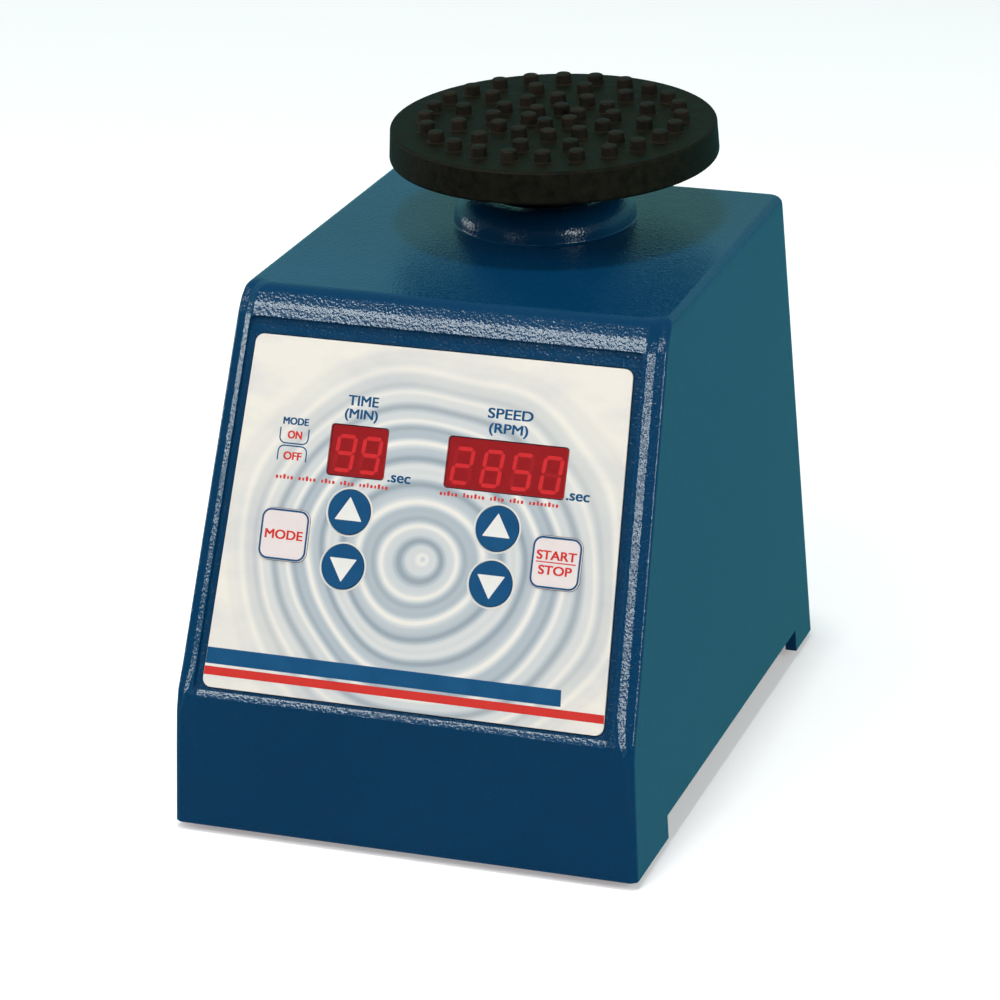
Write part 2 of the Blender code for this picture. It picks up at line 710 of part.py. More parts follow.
def make_touch_switch():
    """A flat switch on the base plate and the pad that the shaft end pushes down on it."""
    low = PLATE_TOP + GAP
    case = box_mesh((0.0062, 0.0062, 0.0014), (0, MOTOR_Y, low + 0.0007))
    switch = link_object("touch_switch", case, black_plastic())
    tip = cylinder_mesh(0.0014, low + 0.0010, low + 0.0020, 12, (0, MOTOR_Y))
    fuse(switch, link_helper("switch_tip", tip))
    axis = empty("touch_axis", (0, MOTOR_Y, 0))
    top = SHAFT_END - GAP
    pad = ((0, top), (0.0040, top), (0.0040, top - 0.0005), (0.0022, top - 0.0008), (0, top - 0.0008))
    turned("touch_pad", pad, grey_plastic(), 16, axis)


def make_head():
    orbit = empty("orbit_axis", (ORBIT_OFFSET, MOTOR_Y, 0))
    turned("head_bearing", ring_profile(0.0053, 0.0090, 0.0946, 0.1030), bearing_steel(), 20, orbit)
    flange = 0.1457
    stem = ((0.0030, flange), (0.0140, flange), (0.0140, 0.1428), (STEM_RADIUS, 0.1400),
            (STEM_RADIUS, 0.1060), (0.0050, 0.1045), (0.0050, 0.0955), (0, 0.0955),
            (0, 0.1300), (0.0030, 0.1300))
    turned("head_stem", stem, cast_aluminium(), 20, orbit)
    ceiling = COVER_TOP - COVER_SKIN - GAP
    disc = ring_profile(0.0034, DISC_RADIUS - GAP, flange + GAP, ceiling)
    turned("platform_disc", disc, cast_aluminium(), 36, orbit)
    screw = ((0, ceiling - 0.0004), (0.0028, ceiling - 0.0004), (0.0028, 0.1315), (0, 0.1315))
    turned("platform_screw", screw, zinc_steel(), 12, orbit)
    make_cover(orbit, ceiling)
    seal_axis = empty("seal_axis", (0, MOTOR_Y, 0))
    seal = ((0.0133, 0.1340), (0.0133, 0.1270), (0.0124, 0.1270), (0.0120, 0.1300), (0.0124, 0.1340))
    turned("splash_seal", seal, black_rubber(), 24, seal_axis)


def make_cover(orbit, ceiling):
    low = COVER_TOP - COVER_DEPTH
    wall = DISC_RADIUS + GAP
    profile = ((0, COVER_TOP), (COVER_RADIUS_TOP - 0.0006, COVER_TOP), (COVER_RADIUS_TOP, COVER_TOP - 0.0006),
               (COVER_RADIUS_BOTTOM, low + 0.0004), (COVER_RADIUS_BOTTOM - 0.0004, low), (wall, low),
               (wall, ceiling + GAP), (0, ceiling + GAP))
    cover = turned("platform_cover", profile, black_rubber(), 48, orbit)
    shape = bmesh.new()
    for count, radius, offset in STUD_RINGS:
        for k in range(count):
            angle = math.radians(offset + 360 * k / count)
            spot = Matrix.Translation((radius * math.cos(angle), radius * math.sin(angle),
                                       COVER_TOP + STUD_HEIGHT / 2 - 0.0003))
            bmesh.ops.create_cone(shape, cap_ends=True, segments=7, radius1=STUD_RADIUS,
                                  radius2=STUD_RADIUS - 0.0003, depth=STUD_HEIGHT + 0.0006, matrix=spot)
    fuse(cover, link_helper("cover_studs", to_mesh(shape, "studs"), orbit))


def make_inlet(rear):
    width, height = INLET_OPENING
    body = outline_mesh([rounded_rectangle(width - 2 * GAP, height - 2 * GAP, 0.001)], -0.0170, 0.0008)
    inlet = link_object("power_inlet", body, black_plastic(), rear)
    flange = outline_mesh([rounded_rectangle(width + 0.004, height + 0.004, 0.002)], GAP, 0.0022)
    fuse(inlet, link_helper("inlet_flange", flange, rear))
    x, y, chamfer = 0.0122, 0.0082, 0.0045
    mouth = [(-x, -y), (x, -y), (x, y - chamfer), (x - chamfer, y), (chamfer - x, y), (-x, y - chamfer)]
    cavity = outline_mesh([mouth], -0.0145, 0.006)
    cut(inlet, link_helper("inlet_cavity", cavity, rear))
    for u, v in ((-0.007, -0.002), (0.007, -0.002), (0, 0.002)):
        pin = box_mesh((0.0020, 0.0040, 0.0140), (u, v, -0.0085))
        fuse(inlet, link_helper("inlet_pin", pin, rear))


def build():
    panel = empty("panel_frame", (PANEL_SHIFT, BEND_Y, BEND_Z), (PANEL_TILT, 0, 0))
    rear_y = HALF_DEPTH - INLET_HEIGHT * math.sin(REAR_LEAN)
    rear_z = FOOT_CLEARANCE + INLET_HEIGHT * math.cos(REAR_LEAN)
    rear = empty("rear_frame", (INLET_X, rear_y, rear_z), (math.pi / 2 - REAR_LEAN, 0, math.pi))
    make_housing(panel, rear)
    make_panel(panel)
    make_boards(panel)
    make_base()
    make_motor()
    make_rotor()
    make_press()
    make_touch_switch()
    make_head()
    make_inlet(rear)


clear_objects()
PARTS = new_collection("vortex_mixer")
CUTTERS = new_collection("cutters")
build()
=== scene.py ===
"""Vortex mixer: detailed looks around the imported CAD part. Metres, +Z up, the front faces -Y."""

import json
import math

import bmesh
import bpy
from mathutils import Matrix, Vector


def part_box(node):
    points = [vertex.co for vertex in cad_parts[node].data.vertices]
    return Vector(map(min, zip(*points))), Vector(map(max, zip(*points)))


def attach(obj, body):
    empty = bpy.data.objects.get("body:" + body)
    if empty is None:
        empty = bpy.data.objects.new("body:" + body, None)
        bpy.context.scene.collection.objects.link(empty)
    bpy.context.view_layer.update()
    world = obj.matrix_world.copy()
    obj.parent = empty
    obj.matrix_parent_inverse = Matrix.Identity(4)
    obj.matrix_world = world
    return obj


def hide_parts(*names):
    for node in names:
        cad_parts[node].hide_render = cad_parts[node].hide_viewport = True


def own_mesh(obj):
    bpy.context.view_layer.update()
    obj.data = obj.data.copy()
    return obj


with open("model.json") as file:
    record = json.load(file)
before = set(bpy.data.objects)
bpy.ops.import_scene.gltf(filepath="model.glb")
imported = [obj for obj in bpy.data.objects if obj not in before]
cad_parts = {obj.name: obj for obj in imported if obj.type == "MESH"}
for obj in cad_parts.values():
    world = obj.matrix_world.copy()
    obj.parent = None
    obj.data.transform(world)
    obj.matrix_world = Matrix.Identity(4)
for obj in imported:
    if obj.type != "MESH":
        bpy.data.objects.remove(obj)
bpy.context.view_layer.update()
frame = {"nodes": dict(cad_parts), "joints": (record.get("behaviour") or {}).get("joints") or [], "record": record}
JOINTS = {joint["name"]: joint for joint in frame["joints"]}
NODES = frame["nodes"]
MM = 0.001

# ---------------------------------------------------------------- the panel's frame, from the CAD
OUT = -Vector(JOINTS["time_up_key_press"]["axis"]).normalized()
ACROSS = Vector((1, 0, 0))
UP = OUT.cross(ACROSS)
LABEL_BOTTOM = 2.3
LABEL_TOP = 90.25
LABEL_HALF_BOTTOM = 52.25
LABEL_HALF_TOP = 49.0
LABEL_RADIUS = 2.2


def panel_matrix():
    """Local x across, y up the slope from the bend, z out of the film's face, all in metres."""
    film = [v.co for v in NODES["panel_overlay"].data.vertices]
    low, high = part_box("panel_overlay")
    origin = ACROSS * (low.x + high.x) / 2
    origin += UP * (min(UP.dot(p) for p in film) - LABEL_BOTTOM * MM)
    origin += OUT * max(OUT.dot(p) for p in film)
    matrix = Matrix((ACROSS, UP, OUT)).transposed().to_4x4()
    matrix.translation = origin
    return matrix


PANEL = panel_matrix()
ON_FILM = PANEL.inverted()


def panel_place(node):
    low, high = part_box(node)
    spot = ON_FILM @ ((low + high) / 2)
    return spot.x / MM, spot.y / MM


# ---------------------------------------------------------------- materials
class Finish:
    """A node material: sockets set on the shader itself, textures in object space."""

    def __init__(self, name, sockets):
        self.material = bpy.data.materials.new(name)
        self.material.use_nodes = True
        self.tree = self.material.node_tree
        self.shader = self.tree.nodes["Principled BSDF"]
        self.space = None
        for socket, value in sockets.items():
            self.put(self.shader, socket, value)

    def put(self, node, socket, value):
        target = node.inputs[socket]
        if isinstance(value, bpy.types.NodeSocket):
            self.tree.links.new(value, target)
        elif isinstance(value, tuple) and len(value) == 3 and target.type == "RGBA":
            target.default_value = (*value, 1.0)
        else:
            target.default_value = value

    def node(self, kind, inputs=None, **settings):
        made = self.tree.nodes.new("ShaderNode" + kind)
        for key, value in settings.items():
            setattr(made, key, value)
        for socket, value in (inputs or {}).items():
            self.put(made, socket, value)
        return made

    def where(self, scale=(1, 1, 1)):
        if self.space is None:
            self.space = self.node("TexCoord").outputs["Object"]
        if tuple(scale) == (1, 1, 1):
            return self.space
        return self.node("Mapping", {"Vector": self.space, "Scale": scale}).outputs["Vector"]

    def noise(self, scale, detail=3.0, stretch=(1, 1, 1)):
        made = self.node("TexNoise", {"Vector": self.where(stretch), "Scale": scale, "Detail": detail,
                                      "Roughness": 0.55})
        return made.outputs["Fac"]

    def cells(self, scale):
        made = self.node("TexVoronoi", {"Vector": self.where(), "Scale": scale}, feature="SMOOTH_F1")
        return made.outputs["Distance"]

    def maths(self, operation, first, second=0.0):
        made = self.node("Math", {0: first, 1: second}, operation=operation)
        return made.outputs[0]

    def span(self, value, low, high, to_low=0.0, to_high=1.0):
        made = self.node("MapRange", {"Value": value, "From Min": low, "From Max": high,
                                      "To Min": to_low, "To Max": to_high})
        return made.outputs["Result"]

    def ramp(self, value, stops, smooth=False):
        made = self.node("ValToRGB", {"Fac": value})
        ramp = made.color_ramp
        ramp.interpolation = "EASE" if smooth else "LINEAR"
        while len(ramp.elements) < len(stops):
            ramp.elements.new(0.5)
        for element, (place, colour) in zip(ramp.elements, stops):
            element.position = place
            element.color = (*colour, 1.0)
        return made.outputs["Color"]

    def blend(self, factor, first, second):
        made = self.node("Mix", {0: factor, 6: first, 7: second}, data_type="RGBA")
        return made.outputs[2]

    def bump(self, height, strength, distance):
        made = self.node("Bump", {"Height": height, "Strength": strength, "Distance": distance})
        return made.outputs["Normal"]


def mottled(name, dark, light, scale, rough, grain, depth, metallic=0.0, stretch=(1, 1, 1), extra=None):
    """Colour that drifts between two tones, roughness that follows it, and a fine grain."""
    look = Finish(name, {"Metallic": metallic, **(extra or {})})
    drift = look.noise(scale, 4.0, stretch)
    look.put(look.shader, "Base Color", look.ramp(drift, ((0.3, dark), (0.7, light))))
    look.put(look.shader, "Roughness", look.span(drift, 0.3, 0.7, rough[0], rough[1]))
    look.put(look.shader, "Normal", look.bump(look.noise(grain, 3.0, stretch), 0.5, depth))
    return look.material


def paint():
    """Gloss enamel with an orange-peel surface, so that highlights break into specks."""
    look = Finish("hammered_enamel", {"IOR": 1.5, "Specular IOR Level": 0.5})
    drift = look.noise(22.0, 3.0)
    look.put(look.shader, "Base Color",
             look.ramp(drift, ((0.25, (0.0010, 0.039, 0.104)), (0.75, (0.0018, 0.045, 0.116)))))
    look.put(look.shader, "Roughness", look.span(look.noise(260.0), 0.3, 0.7, 0.14, 0.21))
    peel = look.maths("ADD", look.maths("MULTIPLY", look.cells(1450.0), 0.8),
                      look.maths("MULTIPLY", look.noise(1900.0, 2.0), 0.6))
    look.put(look.shader, "Normal", look.bump(peel, 0.8, 0.00013))
    return look.material


RIPPLE_CENTRE = (1.5 * MM, 39.5 * MM)
RIPPLE_SWAY = 18.0 * MM
RIPPLE_FADE = (37.0 * MM, 57.0 * MM)


def film_art():
    """White film with soft round ripples in grey blue, cream towards its corners."""
    look = Finish("printed_film", {"Specular IOR Level": 0.08})
    split = look.node("SeparateXYZ", {"Vector": look.where()})
    x = look.maths("SUBTRACT", split.outputs["X"], RIPPLE_CENTRE[0])
    y = look.maths("MULTIPLY", look.maths("SUBTRACT", split.outputs["Y"], RIPPLE_CENTRE[1]), 1.08)
    far = look.maths("SQRT", look.maths("ADD", look.maths("MULTIPLY", x, x), look.maths("MULTIPLY", y, y)))
    sway = look.maths("MULTIPLY", look.maths("SUBTRACT", look.noise(17.0, 1.0), 0.5), RIPPLE_SWAY)
    spread = look.maths("ADD", far, sway)
    wave = look.span(look.maths("SINE", look.maths("MULTIPLY", spread, 900.0)), -1.0, 1.0)
    second = look.span(look.maths("SINE", look.maths("MULTIPLY", spread, 2150.0)), -1.0, 1.0)
    both = look.maths("ADD", look.maths("MULTIPLY", wave, 0.72), look.maths("MULTIPLY", second, 0.28))
    tone = look.ramp(both, ((0.0, (0.33, 0.38, 0.42)), (0.35, (0.47, 0.52, 0.55)), (0.7, (0.66, 0.67, 0.66)),
                            (1.0, (0.86, 0.82, 0.75))), smooth=True)
    paper = look.ramp(look.noise(38.0, 4.0, (1, 2.2, 1)),
                      ((0.42, (0.87, 0.81, 0.72)), (0.66, (0.76, 0.72, 0.68))))
    fade = look.span(look.maths("ADD", far, look.maths("MULTIPLY", sway, 1.2)), *RIPPLE_FADE)
    look.put(look.shader, "Base Color", look.blend(fade, tone, paper))
    look.put(look.shader, "Roughness", look.span(look.noise(900.0), 0.3, 0.7, 0.45, 0.55))
    look.put(look.shader, "Normal", look.bump(look.noise(2600.0, 2.0), 0.12, 0.00003))
    return look.material


def glow(name, colour, deep):
    """A display part that glows: an even glow with slightly darker grain; on the face and the unlit bars this glow
    is painted light.
    """
    look = Finish(name, {"Roughness": 0.5, "Emission Strength": 1.0, "Base Color": (0.02, 0.004, 0.004)})
    look.put(look.shader, "Emission Color", look.ramp(look.noise(900.0, 2.0), ((0.3, deep), (0.7, colour))))
    return look.material


def filter_pane():
    """Clear red plastic."""
    look = Finish("red_filter", {"Transmission Weight": 1.0, "IOR": 1.35, "Specular IOR Level": 0.4})
    look.put(look.shader, "Base Color",
             look.ramp(look.noise(60.0), ((0.3, (0.93, 0.15, 0.17)), (0.7, (0.95, 0.17, 0.19)))))
    look.put(look.shader, "Roughness", look.span(look.noise(500.0), 0.3, 0.7, 0.05, 0.10))
    return look.material


def striped(name, dark, light, pitch, rough, depth):
    """Metal with fine level lines: laminations or wound wire."""
    look = Finish(name, {"Metallic": 0.9})
    wave = look.node("TexWave", {"Vector": look.where(), "Scale": 1.0 / pitch / 3.2, "Distortion": 0.6,
                                 "Detail": 2.0}, wave_type="BANDS", bands_direction="Z")
    lines = wave.outputs["Fac"]
    look.put(look.shader, "Base Color", look.ramp(lines, ((0.15, dark), (0.75, light))))
    look.put(look.shader, "Roughness", look.span(look.noise(300.0), 0.3, 0.7, rough, rough + 0.15))
    look.put(look.shader, "Normal", look.bump(lines, 0.6, depth))
    return look.material


def circuit():
    """Green solder resist with darker gaps between copper tracks."""
    look = Finish("circuit_green", {"Specular IOR Level": 0.5})
    tracks = look.node("TexBrick", {"Vector": look.where(), "Scale": 140.0, "Mortar Size": 0.03,
                                    "Color1": (0.010, 0.110, 0.045), "Color2": (0.016, 0.150, 0.065),
                                    "Mortar": (0.004, 0.055, 0.025)})
    look.put(look.shader, "Base Color", tracks.outputs["Color"])
    look.put(look.shader, "Roughness", look.span(look.noise(200.0), 0.3, 0.7, 0.25, 0.4))
    look.put(look.shader, "Normal", look.bump(tracks.outputs["Fac"], 0.4, 0.00005))
    return look.material


def ink_look(name, dark, light):
    """Matt print, with hardly any gloss of its own."""
    return mottled(name, dark, light, 150.0, (0.45, 0.55), 2500.0, 0.00002,
                   extra={"Specular IOR Level": 0.08})


MATERIALS = {
    "painted_blue": paint(),
    "panel_white": film_art(),
    "filter_red": filter_pane(),
    "black_rubber": mottled("black_rubber", (0.0040, 0.0040, 0.0018), (0.0110, 0.0105, 0.0045), 420.0,
                            (0.5, 0.7), 1500.0, 0.00012, extra={"Specular IOR Level": 0.12}),
    "foot_rubber": mottled("foot_rubber", (0.012, 0.012, 0.012), (0.020, 0.020, 0.019), 90.0,
                           (0.7, 0.85), 1200.0, 0.00005),
    "stud_rubber": mottled("stud_rubber", (0.006, 0.0055, 0.0035), (0.022, 0.015, 0.009), 160.0,
                           (0.55, 0.7), 1500.0, 0.00006, extra={"Specular IOR Level": 0.15}),
    "black_plastic": mottled("black_plastic", (0.012, 0.012, 0.013), (0.020, 0.020, 0.022), 40.0,
                             (0.35, 0.5), 1800.0, 0.00004),
    "grey_plastic": mottled("grey_plastic", (0.16, 0.17, 0.18), (0.21, 0.22, 0.23), 45.0,
                            (0.4, 0.55), 1600.0, 0.00004),
    "key_blue": mottled("key_blue", (0.007, 0.070, 0.18), (0.010, 0.085, 0.205), 120.0,
                        (0.40, 0.52), 1900.0, 0.00003, extra={"Specular IOR Level": 0.08}),
    "key_white": mottled("key_white", (0.80, 0.70, 0.68), (0.84, 0.74, 0.71), 120.0,
                         (0.42, 0.55), 1900.0, 0.00003, extra={"Specular IOR Level": 0.08}),
    "ink_blue": ink_look("ink_blue", (0.007, 0.075, 0.185), (0.010, 0.090, 0.21)),
    "ink_red": ink_look("ink_red", (0.62, 0.035, 0.028), (0.68, 0.042, 0.034)),
    "ink_white": ink_look("ink_white", (0.80, 0.78, 0.73), (0.85, 0.83, 0.78)),
    "hard_black": mottled("hard_black", (0.004, 0.004, 0.004), (0.009, 0.009, 0.009), 60.0,
                          (0.4, 0.55), 1500.0, 0.00004, extra={"Specular IOR Level": 0.3}),
    "zinc_steel": mottled("zinc_steel", (0.44, 0.45, 0.45), (0.58, 0.58, 0.56), 30.0,
                          (0.28, 0.42), 900.0, 0.00003, 1.0, (1, 8, 1)),
    "cast_aluminium": mottled("cast_aluminium", (0.46, 0.47, 0.48), (0.62, 0.63, 0.64), 60.0,
                              (0.38, 0.55), 1100.0, 0.00008, 1.0),
    "bearing_steel": mottled("bearing_steel", (0.50, 0.51, 0.53), (0.64, 0.65, 0.67), 80.0,
                             (0.14, 0.24), 1300.0, 0.00002, 1.0, (1, 1, 9)),
    "brass_pin": mottled("brass_pin", (0.60, 0.58, 0.52), (0.74, 0.72, 0.66), 150.0,
                         (0.2, 0.3), 1500.0, 0.00002, 1.0),
    "lamination_steel": striped("lamination_steel", (0.13, 0.13, 0.14), (0.34, 0.35, 0.37), 0.0005,
                                0.35, 0.0001),
    "copper_wire": striped("copper_wire", (0.30, 0.10, 0.035), (0.72, 0.30, 0.11), 0.0007, 0.25, 0.0002),
    "circuit_green": circuit(),
    # The face and the unlit bars glow as painted light, standing in for the light that reaches them through the
    # red pane; only the lit bars give light of their own.
    "display_face": glow("display_face", (0.30, 0.10, 0.10), (0.27, 0.09, 0.09)),
    "segment_off": glow("segment_off", (0.36, 0.12, 0.12), (0.33, 0.11, 0.11)),
    "segment_on": glow("segment_on", (0.70, 0.22, 0.22), (0.63, 0.19, 0.19)),
}


# ---------------------------------------------------------------- mesh helpers
def new_mesh(name, shape):
    bmesh.ops.recalc_face_normals(shape, faces=shape.faces)
    mesh = bpy.data.meshes.new(name)
    shape.to_mesh(mesh)
    shape.free()
    return mesh


def rounded(corners, radii, steps=6):
    """A closed outline with each corner turned to an arc; a radius of nought keeps the corner."""
    if not isinstance(radii, (list, tuple)):
        radii = [radii] * len(corners)
    points = []
    for i, (corner, radius) in enumerate(zip(corners, radii)):
        here = Vector(corner)
        if radius <= 0:
            points.append(tuple(here))
            continue
        back = (Vector(corners[i - 1]) - here).normalized()
        ahead = (Vector(corners[(i + 1) % len(corners)]) - here).normalized()
        half = back.angle(ahead) / 2
        reach = radius / math.tan(half)
        centre = here + (back + ahead).normalized() * (radius / math.sin(half))
        start = here + back * reach - centre
        sweep = (here + ahead * reach - centre).angle_signed(start)
        for k in range(steps + 1):
            points.append(tuple(centre + Matrix.Rotation(sweep * k / steps, 2) @ start))
    return points


def rectangle(width, height, radius, centre=(0, 0), steps=6):
    x, y = centre
    w, h = width / 2, height / 2
    return rounded(((x - w, y - h), (x + w, y - h), (x + w, y + h), (x - w, y + h)), radius, steps)


def circle(radius, centre=(0, 0), steps=48):
    return [(centre[0] + radius * math.cos(2 * math.pi * i / steps),
             centre[1] + radius * math.sin(2 * math.pi * i / steps)) for i in range(steps)]


def loft(name, loops, closed=False, caps=True):
    """Loops of equal length joined in turn; the ends are capped, or joined to each other."""
    shape = bmesh.new()
    rings = [[shape.verts.new(p) for p in loop] for loop in loops]
    pairs = list(zip(rings, rings[1:]))
    if closed:
        pairs.append((rings[-1], rings[0]))
    for below, above in pairs:
        for i in range(len(below)):
            k = (i + 1) % len(below)
            shape.faces.new((below[i], below[k], above[k], above[i]))
    if caps and not closed:
        shape.faces.new(rings[0])
        shape.faces.new(rings[-1])
    return new_mesh(name, shape)


def prism(name, outline, bottom, top):
    return loft(name, [[(x, y, z) for x, y in outline] for z in (bottom, top)])


def lathe(name, profile, steps=96, centre=(0, 0)):
    """A closed (radius, height) outline turned about an upright axis."""
    shape = bmesh.new()
    rings = []
    for radius, height in profile:
        if radius < 1e-7:
            rings.append([shape.verts.new((centre[0], centre[1], height))])
        else:
            rings.append([shape.verts.new((x, y, height)) for x, y in circle(radius, centre, steps)])
    for a, b in zip(rings, rings[1:] + rings[:1]):
        for i in range(steps):
            k = (i + 1) % steps
            face = []
            for vert in (a[i % len(a)], a[k % len(a)], b[k % len(b)], b[i % len(b)]):
                if vert not in face:
                    face.append(vert)
            if len(face) > 2:
                shape.faces.new(face)
    return new_mesh(name, shape)


def slab(name, outlines, bottom, top, soft):
    """Flat outlines in mm, the later ones holes, as a slab in metres with softened edges."""
    curve = bpy.data.curves.new(name, "CURVE")
    curve.dimensions = "2D"
    curve.fill_mode = "BOTH"
    curve.bevel_depth = soft
    curve.bevel_resolution = 1
    curve.offset = -soft
    curve.extrude = (top - bottom) / 2 - soft
    for outline in outlines:
        spline = curve.splines.new("POLY")
        spline.points.add(len(outline) - 1)
        for point, (x, y) in zip(spline.points, outline):
            point.co = (x * MM, y * MM, 0, 1)
        spline.use_cyclic_u = True
    item = bpy.data.objects.new(name, curve)
    bpy.context.scene.collection.objects.link(item)
    mesh = baked(item)
    mesh.transform(Matrix.Translation((0, 0, (top + bottom) / 2)))
    return mesh


def baked(item, *helpers):
    """The mesh of an object with its modifiers applied; the object and its helpers are removed."""
    bpy.context.view_layer.update()
    evaluated = item.evaluated_get(bpy.context.evaluated_depsgraph_get())
    mesh = bpy.data.meshes.new_from_object(evaluated)
    for thing in (item, *helpers):
        bpy.data.objects.remove(thing, do_unlink=True)
    mesh.materials.clear()
    return mesh


def combined(name, base, operation, tools):
    """Exact Booleans of one mesh with several others."""
    item = bpy.data.objects.new(name, base)
    bpy.context.scene.collection.objects.link(item)
    helpers = []
    for tool in tools:
        helper = bpy.data.objects.new(name + "_tool", tool)
        bpy.context.scene.collection.objects.link(helper)
        helpers.append(helper)
        step = item.modifiers.new("cut", "BOOLEAN")
        step.operation = operation
        step.solver = "EXACT"
        step.object = helper
    return baked(item, *helpers)


def moved(mesh, matrix):
    """The same mesh, moved in place."""
    mesh.transform(matrix)
    return mesh


def joined(name, meshes):
    """Several meshes as one, without welding."""
    shape = bmesh.new()
    for mesh in meshes:
        shape.from_mesh(mesh)
    mesh = bpy.data.meshes.new(name)
    shape.to_mesh(mesh)
    shape.free()
    return mesh


def piece(name, mesh, material, body="base", stands_for=(), matrix=None, angle=32):
    """One visible piece: shaded smooth with weighted normals, riding on its body."""
    item = bpy.data.objects.new(name, mesh)
    bpy.context.scene.collection.objects.link(item)
    mesh.materials.clear()
    mesh.materials.append(MATERIALS[material])
    mesh.shade_smooth()
    mesh.set_sharp_from_angle(angle=math.radians(angle))
    weigh = item.modifiers.new("normals", "WEIGHTED_NORMAL")
    weigh.keep_sharp = True
    weigh.weight = 80
    if matrix is not None:
        item.matrix_world = matrix
    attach(item, body)
    if stands_for:
        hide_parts(*stands_for)
    return item


# ---------------------------------------------------------------- housing
SHELL_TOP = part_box("housing_shell")[1].z
BOSS_HEIGHT = 7.0 * MM
BORE = 13.6 * MM
FLOOR_GAP = 2.0 * MM
HALF_DEPTH = 79.0 * MM
TOP = SHELL_TOP - BOSS_HEIGHT
MOTOR_Y = JOINTS["motor_spin"]["pos_m"][1]
FRONT_WIDTH = 60.75 * MM
TAPER_BACK = 0.020
TAPER_UP = 0.0324
FACE_RISE = 34.5 * MM
FACE_LEAN = 2.3 * MM
SLOPE_DEPTH = 46.0 * MM
FRONT = [(-HALF_DEPTH, FLOOR_GAP), (-HALF_DEPTH + FACE_LEAN, FLOOR_GAP + FACE_RISE),
         (-HALF_DEPTH + SLOPE_DEPTH, TOP)]
REAR_TOP = -HALF_DEPTH + 148.5 * MM
WALL = 3.0 * MM
RIM_START = 94.3 * MM
RIM_LEAN = math.radians(9)
RIM_RUN = 3.4 * MM
SIDE_TURN = 2.2 * MM
REAR_TURN = 2.4 * MM
CHAMFER = math.radians(38)
SHOULDER = math.radians(12)
SHOULDER_LOW = math.radians(30)
RIM_LOW, RIM_FULL = 29.0 * MM, 42.0 * MM


def half_width(y, z):
    """The housing narrows a little towards the back and towards the top."""
    return FRONT_WIDTH - TAPER_BACK * (y + HALF_DEPTH) - TAPER_UP * (z - FLOOR_GAP)


def front_profile():
    """Points (y, z) up the front: upright face, bend, long slope, and the wide curve to the top."""
    slope = (Vector(FRONT[2]) - Vector(FRONT[1])).normalized()
    lip = Vector(FRONT[1]) + slope * RIM_START
    brow = lip + Matrix.Rotation(-RIM_LEAN, 2) @ slope * RIM_RUN
    ease = Matrix.Rotation(-2.4 * RIM_LEAN, 2) @ slope
    peak = brow + ease * ((TOP - brow.y) / ease.y)
    corners = [FRONT[0], FRONT[1], lip, brow, peak, (REAR_TOP, TOP), (HALF_DEPTH, FLOOR_GAP)]
    bend = rounded(corners, (0, 5.0 * MM, 0, 0, 0, 0, 0), 6)[1:8]
    edge = rounded(corners, (0, 0, 5.0 * MM, 0, 0, 0, 0), 4)[2:7]
    edge += rounded(corners, (0, 0, 0, 9.0 * MM, 0, 0, 0), 6)[3:10]
    crown = edge + rounded(corners, (0, 0, 0, 0, 6.0 * MM, 0, 0), 14)[4:19]
    low, high = Vector(bend[-1]), Vector(crown[0])
    climb = [tuple(low + (high - low) * k / 16) for k in range(1, 16)]
    face = [(FRONT[0][0] + FACE_LEAN * t, FLOOR_GAP + FACE_RISE * t) for t in (0, 0.3, 0.6, 0.85)]
    return face + bend + climb + crown


def rear_line(z):
    return HALF_DEPTH + (REAR_TOP - HALF_DEPTH) * (z - FLOOR_GAP) / (TOP - FLOOR_GAP)


def turn_in(z, radius):
    """How far a face has turned inwards at this height, on the way to the flat top."""
    rise = z - (TOP - radius)
    if rise <= 0:
        return 0.0
    return radius - math.sqrt(max(radius * radius - rise * rise, 0.0))


def rim(z):
    """Beside the panel: widths of the chamfer and of the flatter shoulder, and the shoulder's lean."""
    t = min(max((z - RIM_LOW) / (RIM_FULL - RIM_LOW), 0.0), 1.0)
    t = t * t * (3 - 2 * t)
    return (0.7 + 1.4 * t) * MM, (0.8 + 1.7 * t) * MM, SHOULDER + (1 - t) * (SHOULDER_LOW - SHOULDER)


def housing_outside():
    """Level outlines stacked up the front profile, each with its corners shaped by rim and turn_in."""
    loops = []
    for y_front, z in front_profile():
        side = turn_in(z, SIDE_TURN)
        y_rear = rear_line(z) - turn_in(z, REAR_TURN)
        chamfer, shoulder, lean = rim(z)
        y_mid = y_front + chamfer * math.tan(CHAMFER)
        y_edge = y_mid + shoulder * math.tan(lean)
        edge = half_width(y_edge, z) - side
        mid = edge - shoulder
        inner = mid - chamfer
        rear = half_width(y_rear, z) - side
        back_turn = max(3.2 * MM - 0.7 * side, 0.8 * MM)
        right = ((inner, y_front, 1.4 * MM), (mid, y_mid, 1.6 * MM), (edge, y_edge, 1.1 * MM),
                 (rear, y_rear, back_turn))
        corners = [(-x, y) for x, y, _ in reversed(right)] + [(x, y) for x, y, _ in right]
        radii = [radius for *_, radius in reversed(right)] + [radius for *_, radius in right]
        outline = rounded(corners, radii, 7)
        loops.append([(x, y, z) for x, y in outline])
    return loft("housing", loops)


